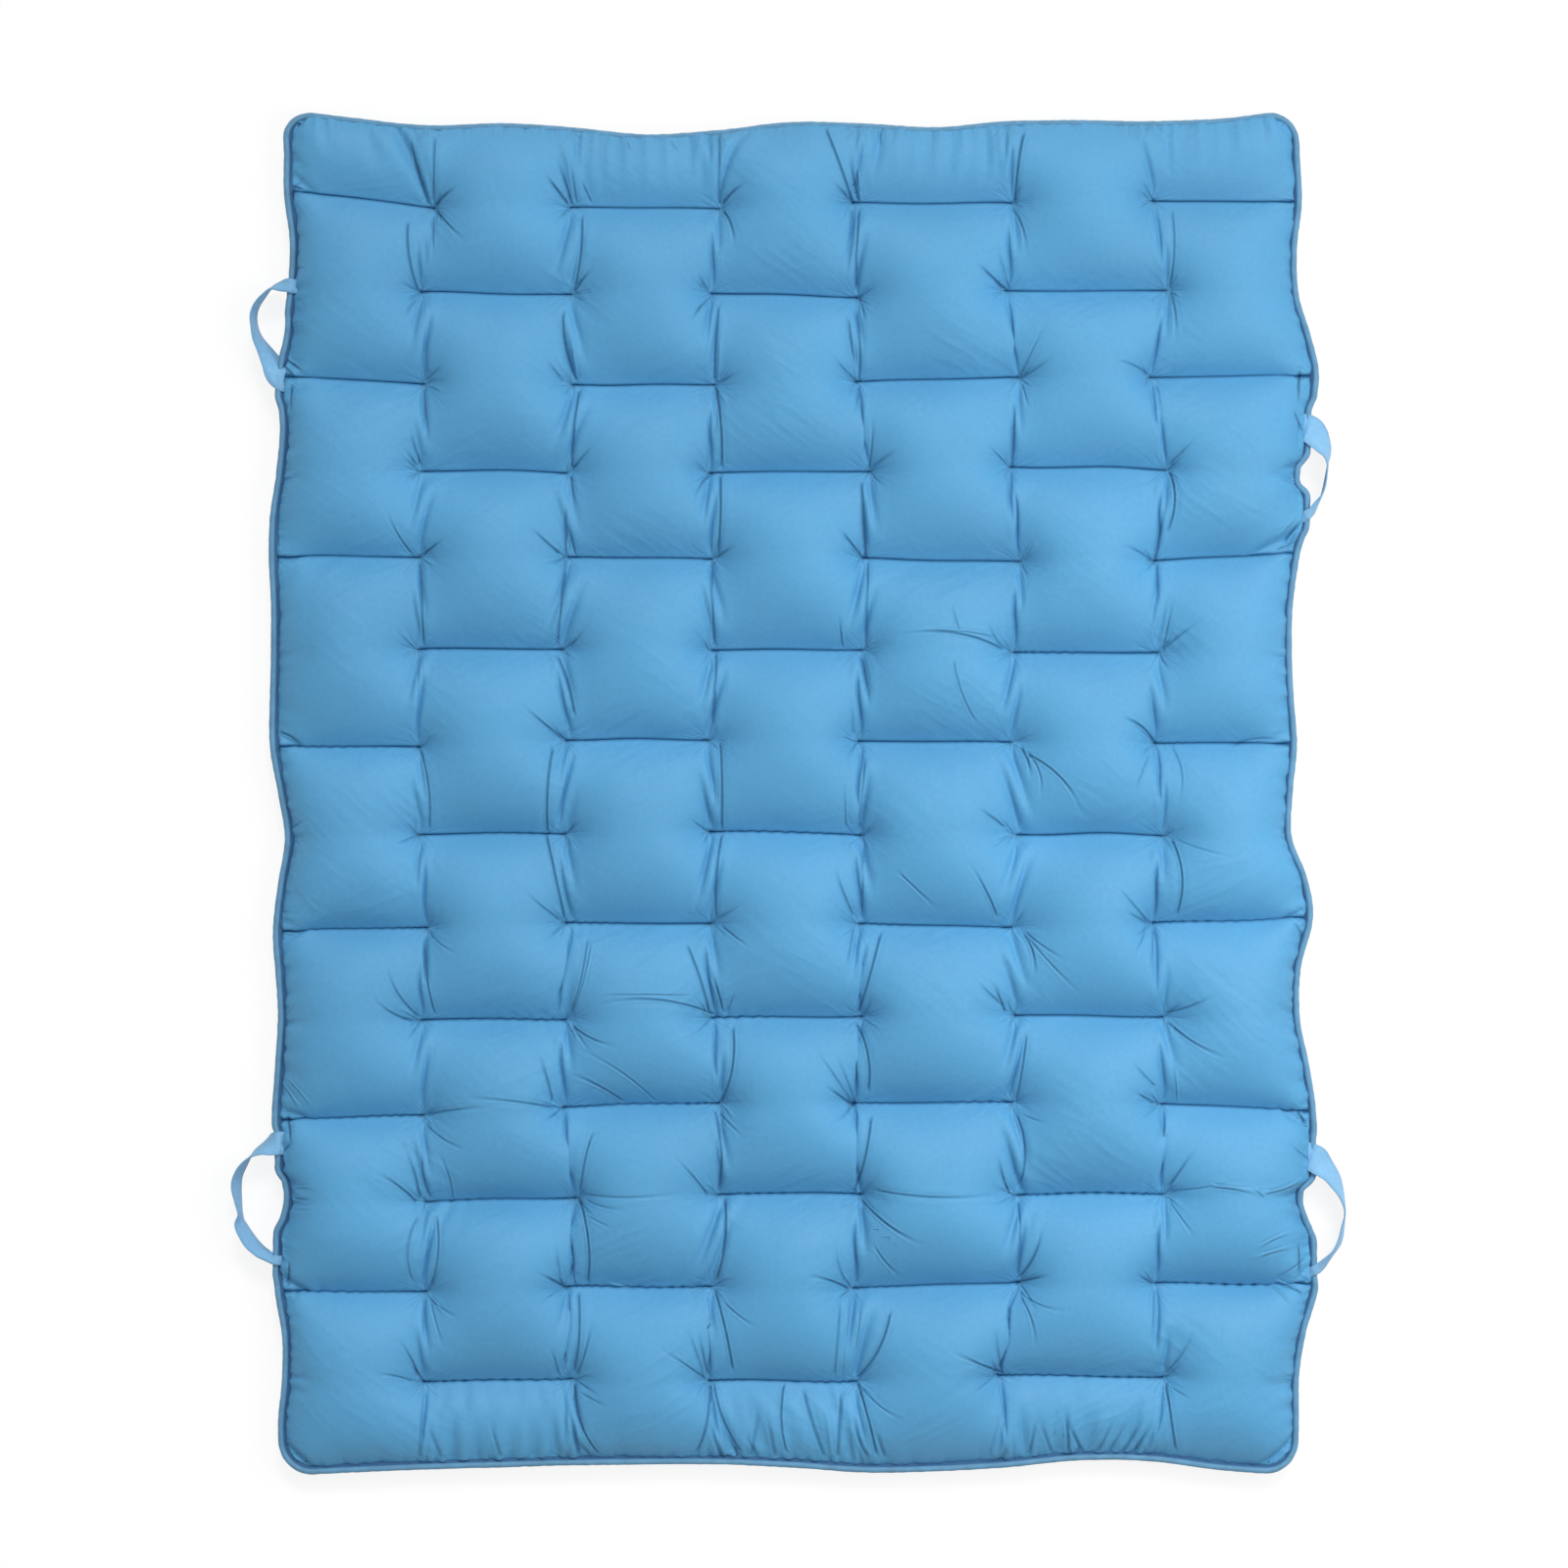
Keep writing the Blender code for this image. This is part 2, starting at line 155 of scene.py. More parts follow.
GRAB_LOOPS = (
    LoopPlan("left_rear", Side.LEFT, (1.98, 2.98), (-0.35, 0.15), (0.006, 0.012), strap_stations(
        (-8, 48.4, 1.2, 0, 13), (-4.2, 48.5, 1.3, 0, 13), (-0.6, 48.6, 3.6, -3, 13), (4, 48.8, 2.6, -18, 13),
        (10, 48.2, -0.5, -55, 16), (17.4, 45.8, -3, -80, 20), (23.9, 38.0, -5, -90, 24),
        (29.5, 28.1, -5.5, -94, 25), (31.1, 18.6, -5.5, -97, 25), (28.8, 8.3, -5.5, -99, 25),
        (24.4, -1.4, -5, -107, 25), (16.1, -12, -3.5, -119, 25), (7.5, -23, 0, -138, 25),
        (0.8, -32.0, 3.6, -174, 24), (-4.2, -34.5, 1.25, -180, 24), (-8, -34.5, 1.15, -180, 24),
    )),
    LoopPlan("left_front", Side.LEFT, (11.42, 12.58), (0.25, 0.35), (0.014, 0.014), strap_stations(
        (-8, 50, 1.15, 0, 21), (-4.2, 50, 1.25, 0, 21), (-0.4, 50, 3.6, -3, 21), (4, 49.3, 2.4, -22, 21),
        (11.9, 46.1, -1, -63, 23), (22.8, 39.7, -4, -84, 25), (31.0, 29.4, -5, -99, 25),
        (36.0, 19.2, -5.5, -103, 25), (37.2, 9.5, -5.5, -104, 25), (35.2, -3.6, -5.5, -97, 25),
        (33.2, -14.6, -5.5, -92, 25), (32.6, -24.7, -5, -107, 25), (23.5, -39.4, -4, -112, 25),
        (14.5, -47.6, -2, -112, 22), (6.0, -52.2, 1.2, -128, 12), (0, -54.5, 3.8, -168, 9),
        (-4.2, -55.2, 1.4, -180, 9), (-8, -55.5, 1.3, -180, 9),
    )),
    LoopPlan("right_rear", Side.RIGHT, (3.56, 4.44), (0.60, 0.55), (0.014, 0.014), strap_stations(
        (-7, 44.5, 1.15, 0, 25), (-3.4, 44.2, 1.3, 0, 25), (0.4, 43.0, 3.6, -3, 25), (4.8, 40.0, 2.8, -8, 25),
        (11.0, 33.9, 0, -30, 25), (16.8, 24.7, -3.5, -57, 25), (18.5, 14.2, -5, -80, 25),
        (17.5, 2.3, -5.5, -86, 25), (15.0, -11.3, -5, -87, 25), (9.9, -22.8, -3, -80, 22),
        (3.9, -30.8, 2.0, -55, 11), (-0.5, -34, 3.8, -10, 9), (-3.6, -36, 1.5, 0, 9), (-7, -37, 1.3, 0, 9),
    )),
    LoopPlan("right_front", Side.RIGHT, (11.55, 12.72), (0.85, 0.90), (0.014, 0.014), strap_stations(
        (-7, 49.5, 1.15, 0, 25), (-3.4, 49.0, 1.3, 0, 25), (0.2, 47.5, 3.6, -3, 25),
        (4.5, 44.8, 2.8, -14, 25),
        (12.9, 36.9, -0.5, -45, 25), (20.7, 25.8, -3.5, -58, 25), (26.3, 12.6, -5, -75, 25),
        (28.8, -1.1, -5.5, -83, 25), (26.9, -14.7, -5.5, -78, 25), (23.7, -28.3, -5, -74, 25),
        (15.7, -40.5, -3, -75, 23), (6.4, -49.2, 1.2, -52, 13), (0, -52.8, 3.8, -10, 9),
        (-3.6, -54.5, 1.5, 0, 9), (-7, -55.2, 1.3, 0, 9),
    )),
)


@dataclass(frozen=True)
class PadPlan:
    """The sizes of the pad and the places of its seams and its edge."""

    width: float = 0.914
    length: float = 1.219
    corner_radius: float = 0.027
    columns: int = 7
    rows: int = 15
    bead_radius: float = 0.00275
    seam_height: float = 0.0202
    edge_wave: float = 0.018
    root_half: float = 0.0145
    seam_sway: float = 0.0009
    sway_size: float = 0.13
    sway_seed: int = 51
    sway_ease: float = 3
    strap_width: float = 0.025
    loops: tuple[LoopPlan, ...] = GRAB_LOOPS

    # How far the edge wanders outward, as shares of edge_wave, at each half row or half column
    left_shares: tuple[float, ...] = (
        -0.10, -0.20, -0.20, -0.50, -0.35, -0.20, 0.20, 0.00, 0.20, 0.50, 0.55, 0.45, 0.45, 0.50, 0.50, 0.10,
        -0.25, 0.10, 0.35, 0.20, 0.10, 0.25, 0.40, 0.20, -0.20, 0.35, 0.25, -0.10, -0.10, 0.10, 0.00,
    )
    right_shares: tuple[float, ...] = (
        0.00, 0.05, 0.15, -0.10, 0.00, 0.60, 1.00, 0.60, 0.05, 0.55, 0.05, -0.30, -0.35, -0.25, -0.10, -0.30,
        -0.35, 0.40, 0.70, 0.10, 0.05, 0.50, 0.85, 0.85, 0.20, 0.85, 1.00, 0.35, 0.00, 0.00, -0.05,
    )
    rear_shares: tuple[float, ...] = (
        0.15, -0.25, -0.60, -0.50, -0.70, -1.05, -0.85, -0.45, -0.50, -0.70, -0.40, -0.35, -0.40, -0.25, 0.15,
    )
    front_shares: tuple[float, ...] = (
        0.15, 0.00, -0.15, -0.25, -0.35, -0.40, -0.40, -0.25, 0.00, -0.05, -0.25, -0.60, -0.55, -0.10, 0.10,
    )

    # How far each seam end has wandered from the even grid, in millimetres, for rows 1 to 14 from the rear
    # and the eight column lines from the left
    wander_x: tuple[tuple[int, ...], ...] = (
        (4, 7, -2, 3, -9, 5, 0, 0),
        (0, -6, 0, -6, -4, -2, 14, 0),
        (6, -2, 0, -1, -6, 11, -3, 2),
        (0, -6, -4, -8, 7, 2, 13, 0),
        (-7, -6, -4, -4, 0, 12, 2, -4),
        (0, -9, -7, -6, 1, 5, 6, 0),
        (-3, -6, -6, -6, -4, 5, 2, -2),
        (0, -7, -5, -7, 0, 8, 10, 0),
        (4, 1, -6, -5, -4, 5, 0, 10),
        (0, -6, -5, -6, 1, 7, 11, 0),
        (4, -2, -9, 3, -8, 6, 8, 9),
        (0, -2, 4, 1, 0, 9, 11, 0),
        (6, 0, -5, -4, -9, 11, 2, 13),
        (0, -4, 0, -9, -4, -9, 11, 0),
    )
    wander_y: tuple[tuple[int, ...], ...] = (
        (14, -2, -2, -2, 2, 2, 4, 4),
        (0, 3, 2, 2, 0, 5, 5, 0),
        (10, 2, 2, 2, 4, 8, 8, 10),
        (0, 6, 3, 4, 5, 9, 7, 0),
        (9, 9, 9, 7, 7, 5, 5, 13),
        (0, 6, 8, 7, 7, 5, 5, 0),
        (1, 1, 7, 7, 6, 4, 4, 4),
        (0, 3, 4, 6, 3, 4, 3, 0),
        (-3, 1, 4, 4, 3, 1, 4, 10),
        (0, -2, 0, 1, 2, 4, 2, 0),
        (-10, -5, 2, 5, 5, 5, 5, -2),
        (0, -3, 2, 4, 5, 5, 5, 0),
        (-2, -2, 1, 3, 0, 6, 5, 5),
        (0, -2, 2, -1, 0, 5, 2, 0),
    )

    @property
    def half_width(self) -> float:
        """Half the distance between the middles of the left and right piping."""
        return self.width / 2 - self.bead_radius

    @property
    def half_length(self) -> float:
        """Half the distance between the middles of the rear and front piping."""
        return self.length / 2 - self.bead_radius

    @property
    def column_width(self) -> float:
        """The width of one column of the quilting."""
        return 2 * self.half_width / self.columns

    @property
    def row_length(self) -> float:
        """The distance between two rows of seams."""
        return 2 * self.half_length / self.rows

    def row_y(self, row: float) -> float:
        """The Y of a quilt row, counted from the rear end."""
        return self.half_length - row * self.row_length

    def side_wave(self, side: Side, y: Array) -> Array:
        """Say how far a long edge stands out.

        Args:
            side: Which edge.
            y: Where along it.

        Returns:
            The distance outward from the even edge. It runs straight where a loop end is sewn in.
        """
        row = (self.half_length - y) / self.row_length
        shares = smooth_through(self.left_shares if side is Side.LEFT else self.right_shares, 2 * row)
        for loop in self.loops:
            if loop.side is not side:
                continue
            ends = [self.row_y(r) for r in loop.rows]
            along = (y - ends[0]) / (ends[1] - ends[0])
            straight = loop.edge_shares[0] + (loop.edge_shares[1] - loop.edge_shares[0]) * along
            away = np.minimum(np.abs(y - ends[0]), np.abs(y - ends[1])) - self.root_half
            held = smooth_step(1 - away / self.root_half)
            shares = shares * (1 - held) + straight * held
        return self.edge_wave * shares

    def end_wave(self, end: int, x: Array) -> Array:
        """Say how far a short edge stands out at x.

        Args:
            end: 1 for the rear end, -1 for the front end.
            x: Where along it.

        Returns:
            The distance outward from the even edge.
        """
        column = (x + self.half_width) / self.column_width
        return self.edge_wave * smooth_through(self.rear_shares if end > 0 else self.front_shares, 2 * column)

    def settled(self, x: Array, y: Array) -> tuple[Array, Array]:
        """Move points of the even plan to where the filled pad has drawn them.

        Args:
            x: Their X on the even plan.
            y: Their Y on the even plan.

        Returns:
            Their X and Y on the pad.
        """
        across, along = x.copy(), y.copy()
        for side in Side:
            near = np.clip(1 - (self.half_width - side.value * x) / self.column_width, 0, None)
            across += side.value * near * self.side_wave(side, y)
        for end in (1, -1):
            near = np.clip(1 - (self.half_length - end * y) / self.row_length, 0, None)
            along += end * near * self.end_wave(end, x)
        column = np.clip((x + self.half_width) / self.column_width, 0, self.columns)
        row = np.clip((self.half_length - y) / self.row_length, 0, self.rows)
        i = np.minimum(column.astype(int), self.columns - 1)
        j = np.minimum(row.astype(int), self.rows - 1)
        u, v = column - i, row - j
        blank = np.zeros((1, self.columns + 1))
        for target, table in ((across, self.wander_x), (along, self.wander_y)):
            grid = np.vstack([blank, np.array(table) / 1000, blank])
            if target is across:
                grid[:, [0, -1]] = 0
            rear = grid[j, i] * (1 - u) + grid[j, i + 1] * u
            front = grid[j + 1, i] * (1 - u) + grid[j + 1, i + 1] * u
            target += rear * (1 - v) + front * v
        inside = np.clip(np.minimum(row, self.rows - row), 0, 1)
        inside *= np.clip(np.minimum(column, self.columns - column) * self.sway_ease, 0, 1)
        along += self.seam_sway * inside * drift(x, y, self.sway_size, self.sway_seed)
        return across, along

    def has_seam(self, column: int, row: int) -> bool:
        """Whether a column is sewn through along a row."""
        return 0 < row < self.rows and (column + row) % 2 == 1

    def cell_steps(self, grid: Array) -> tuple[int, int]:
        """How many steps a grid of points takes to one column and to one row of the quilting."""
        return (grid.shape[0] - 1) // self.columns, (grid.shape[1] - 1) // self.rows

    def seams(self, along: int) -> list[tuple[int, int]]:
        """The column of each seam, and its place along a grid that takes so many steps to a row."""
        return [
            (column, (self.rows - row) * along)
            for row in range(1, self.rows) for column in range(self.columns) if self.has_seam(column, row)
        ]


@dataclass
class Cloth:
    """A grid of cloth points that keeps its cut size while it is blown up from inside.

    Fields:
        places: The points, as rows x columns x 3.
        rest_x, rest_y: The cut length of each thread between neighbours.
        free: 1 for a free point and 0 for one that is sewn down.
        outward: 1 where the pressure pushes up and -1 where it pushes down.
    """

    places: Array
    rest_x: Array
    rest_y: Array
    free: Array
    outward: int = 1
    floor: float | None = None
    ceiling: float | Array | None = None
    stretch_stiffness: float = 1.0
    squeeze_stiffness: float = 0.35
    shear_stiffness: float = 0.25
    bend_stiffness: float = 0.12
    damping: float = 0.92
    pressure: float = 0.00025
    motion: Array = field(init=False)
    links: list = field(init=False, default_factory=list)

    def __post_init__(self) -> None:
        """Take up the points and list the families of links between them."""
        self.places = self.places.astype(np.float32)
        self.motion = np.zeros_like(self.places)
        self.list_links()

    def list_links(self) -> None:
        """List the links in families, in each of which no two links share a point."""
        rest_x, rest_y = self.rest_x.astype(np.float32), self.rest_y.astype(np.float32)
        diagonal = np.sqrt(
            ((rest_x[:, :-1] + rest_x[:, 1:]) / 2) ** 2 + ((rest_y[:-1, :] + rest_y[1:, :]) / 2) ** 2
        )
        full, low, high = slice(None), slice(None, -1), slice(1, None)
        thread, shear = (self.squeeze_stiffness, self.stretch_stiffness), (self.shear_stiffness,) * 2
        for start in (0, 1):
            a, b = slice(start, -1, 2), slice(start + 1, None, 2)
            self.add_link((a, full), (b, full), rest_x[start::2], *thread)
            self.add_link((full, a), (full, b), rest_y[:, start::2], *thread)
        for start in (0, 1):
            a, b = slice(start, -1, 2), slice(start + 1, None, 2)
            self.add_link((a, low), (b, high), diagonal[start::2], *shear)
            self.add_link((a, high), (b, low), diagonal[start::2], *shear)
        wide_x = rest_x[:-1] + rest_x[1:]
        wide_y = rest_y[:, :-1] + rest_y[:, 1:]
        for start in (0, 1, 2, 3):
            a, b = slice(start, -2, 4), slice(start + 2, None, 4)
            self.add_link((a, full), (b, full), wide_x[start::4], self.bend_stiffness, 0)
            self.add_link((full, a), (full, b), wide_y[:, start::4], self.bend_stiffness, 0)

    def add_link(self, first: tuple, second: tuple, rest: Array, squeeze: float, stretch: float) -> None:
        """Add one family of links.

        Args:
            first: The slices of their first points.
            second: The slices of their second points.
            rest: The length that each keeps.
            squeeze: The share of a shortfall that one pass takes out.
            stretch: The share of an excess that one pass takes out.
        """
        free_a, free_b = self.free[first], self.free[second]
        both = np.maximum(free_a + free_b, NEAR_ZERO)
        share_a, share_b = (free_a / both)[..., None], (free_b / both)[..., None]
        self.links.append((
            first, second, rest[: free_a.shape[0], : free_a.shape[1]],
            np.float32(squeeze), np.float32(stretch), share_a.astype(np.float32), share_b.astype(np.float32),
        ))

    def tighten(self) -> None:
        """Pull every link towards its length once."""
        places = self.places
        for first, second, rest, squeeze, stretch, share_a, share_b in self.links:
            a, b = places[first], places[second]
            apart = b - a
            length = np.sqrt(np.einsum("ijk,ijk->ij", apart, apart)) + np.float32(NEAR_ZERO)
            off = 1 - rest / length
            off *= np.where(off > 0, stretch, squeeze)
            apart *= off[..., None]
            a += apart * share_a
            b -= apart * share_b

    def normals(self) -> Array:
        """The cloth's area vectors at its points, outward."""
        across = np.gradient(self.places, axis=0)
        along = np.gradient(self.places, axis=1)
        return np.cross(across, along) * np.float32(self.outward)

    def run(self, steps: int, passes: int) -> None:
        """Blow the cloth up.

        Args:
            steps: The number of time steps.
            passes: How often each step tightens every link.
        """
        free = self.free[..., None].astype(np.float32)
        mean_area = float(np.mean(self.rest_x) * np.mean(self.rest_y))
        push = np.float32(self.pressure / mean_area)
        for _ in range(steps):
            before = self.places.copy()
            self.places += free * (self.motion * np.float32(self.damping) + self.normals() * push)
            for _ in range(passes):
                self.tighten()
            if self.floor is not None:
                np.maximum(self.places[..., 2], self.floor, out=self.places[..., 2])
            if self.ceiling is not None:
                np.minimum(self.places[..., 2], self.ceiling, out=self.places[..., 2])
            self.motion = self.places - before


def graded(steps: int, crowding: float) -> Array:
    """Places from 0 up to, not including, 1 in one cell of the grid, crowded towards both its ends."""
    t = np.arange(steps) / steps
    return t - crowding * np.sin(2 * np.pi * t) / (2 * np.pi)


def drift(
    x: Array, y: Array, size: float, seed: int,
    waves: int = 14, turns: tuple[float, float] = (0.6, 1.5),
) -> Array:
    """Make a smooth uneven field, the same on every run.

    Args:
        x: Where to read it.
        y: Where to read it.
        size: About how far apart its highs are.
        seed: Which field.
        waves: How many plain waves it adds up.
        turns: The fewest and the most turns that a wave makes in that distance.

    Returns:
        Values that mostly lie between -1 and 1.
    """
    draw = np.random.default_rng(seed)
    total = np.zeros_like(x)
    for _ in range(waves):
        heading, phase = draw.uniform(0, 2 * np.pi, 2)
        turn = 2 * np.pi / size * draw.uniform(*turns)
        total += np.sin(turn * (x * np.cos(heading) + y * np.sin(heading)) + phase)
    return total / math.sqrt(waves)


def resample(grid: Array, shape: tuple[int, int]) -> Array:
    """Carry a grid of points over to a finer or coarser grid of the same cloth.

    Args:
        grid: The points, as columns x rows x 3.
        shape: How many points the new grid has each way.

    Returns:
        The new grid.
    """
    for axis, count in enumerate(shape):
        place = np.linspace(0, grid.shape[axis] - 1, count)
        grid = np.moveaxis(grid, axis, 0)
        place = place.reshape(-1, *([1] * (grid.ndim - 1)))
        k = np.minimum(place.astype(int), len(grid) - 2).ravel()
        t = place - k.reshape(place.shape)
        grid = np.moveaxis(grid[k] * (1 - t) + grid[k + 1] * t, 0, axis)
    return grid


@dataclass(frozen=True)
class Fold:
    """A fold in the top cover, in millimetres. It bows to the left of its own direction.

    Most folds start at a seam end, where the sewing gathers the cloth, and fade out towards their other end.

    Fields:
        from_x, from_y, to_x, to_y: Where it runs.
        bow: How far its middle stands off the straight line.
        height: How far it stands up, or is pressed in if negative, in tenths of a millimetre.
        rise: How far from its start it has risen, in metres.
        fall_share: The share of its length over which it fades out.
        overrun: How far it runs past both its ends, in metres.
        pinned_length, pinned_slope: Longer and steeper than this, it runs from seam to seam.
        pinned_fall: How far it fades out from such an end, in metres.
        foot_share, foot_place, foot_width: The hollow along each side of it, as a share of its height, and in
            half widths.
    """

    from_x: float
    from_y: float
    to_x: float
    to_y: float
    bow: float
    height: float
    rise: float = 0.006
    fall_share: float = 0.65
    overrun: float = 0.003
    pinned_length: float = 0.055
    pinned_slope: float = 0.9
    pinned_fall: float = 0.010
    foot_share: float = 0.28
    foot_place: float = 2.1
    foot_width: float = 1.1

    def near(self, x: Array, y: Array, reach: float) -> Array:
        """Which points lie within reach of a box round the fold."""
        across = np.abs(x - (self.from_x + self.to_x) / 2000) < abs(self.to_x - self.from_x) / 2000 + reach
        along = np.abs(y - (self.from_y + self.to_y) / 2000) < abs(self.to_y - self.from_y) / 2000 + reach
        return across & along

    def place(self, x: Array, y: Array) -> tuple[Array, Array, Array]:
        """Say where points lie from the fold.

        Args:
            x: The points' X.
            y: Their Y.

        Returns:
            How far they lie beside it, how far past its ends, and how fully it has risen there.
        """
        start = np.array([self.from_x, self.from_y]) / 1000
        run = np.array([self.to_x, self.to_y]) / 1000 - start
        length = float(np.hypot(*run))
        ahead = run / length
        share = ((x - start[0]) * ahead[0] + (y - start[1]) * ahead[1]) / length
        beside = (y - start[1]) * ahead[0] - (x - start[0]) * ahead[1]
        within = np.clip(share, 0, 1)
        beside = beside - self.bow / 1000 * 4 * within * (1 - within)
        pinned = length > self.pinned_length and abs(ahead[1]) > self.pinned_slope
        fall = self.pinned_fall / length if pinned else self.fall_share
        ends = self.overrun / length
        fade = smooth_step((share + ends) / (self.rise / length)) * smooth_step((1 + ends - share) / fall)
        return beside, np.abs(share - within) * length, fade

    def lift(self, x: Array, y: Array, width: float) -> Array:
        """Say how far the fold lifts each point.

        Args:
            x: The points' X.
            y: Their Y.
            width: Its half width.

        Returns:
            The distance along the cloth's normal, in metres.
        """
        beside, _, fade = self.place(x, y)
        hump = np.exp(-((beside / width) ** 2))
        foot = (np.abs(beside) - self.foot_place * width) / (self.foot_width * width)
        hollow = self.foot_share * np.exp(-(foot ** 2))
        return self.height / 10000 * fade * (hump - hollow)

    def course(self) -> Array:
        """Nine points along the fold."""
        share = np.linspace(0, 1, 9)[:, None]
        run = np.array([self.to_x - self.from_x, self.to_y - self.from_y])
        left = np.array([-run[1], run[0]]) / np.hypot(*run)
        bend = left * self.bow * 4 * share * (1 - share)
        return (np.array([self.from_x, self.from_y]) + run * share + bend) / 1000
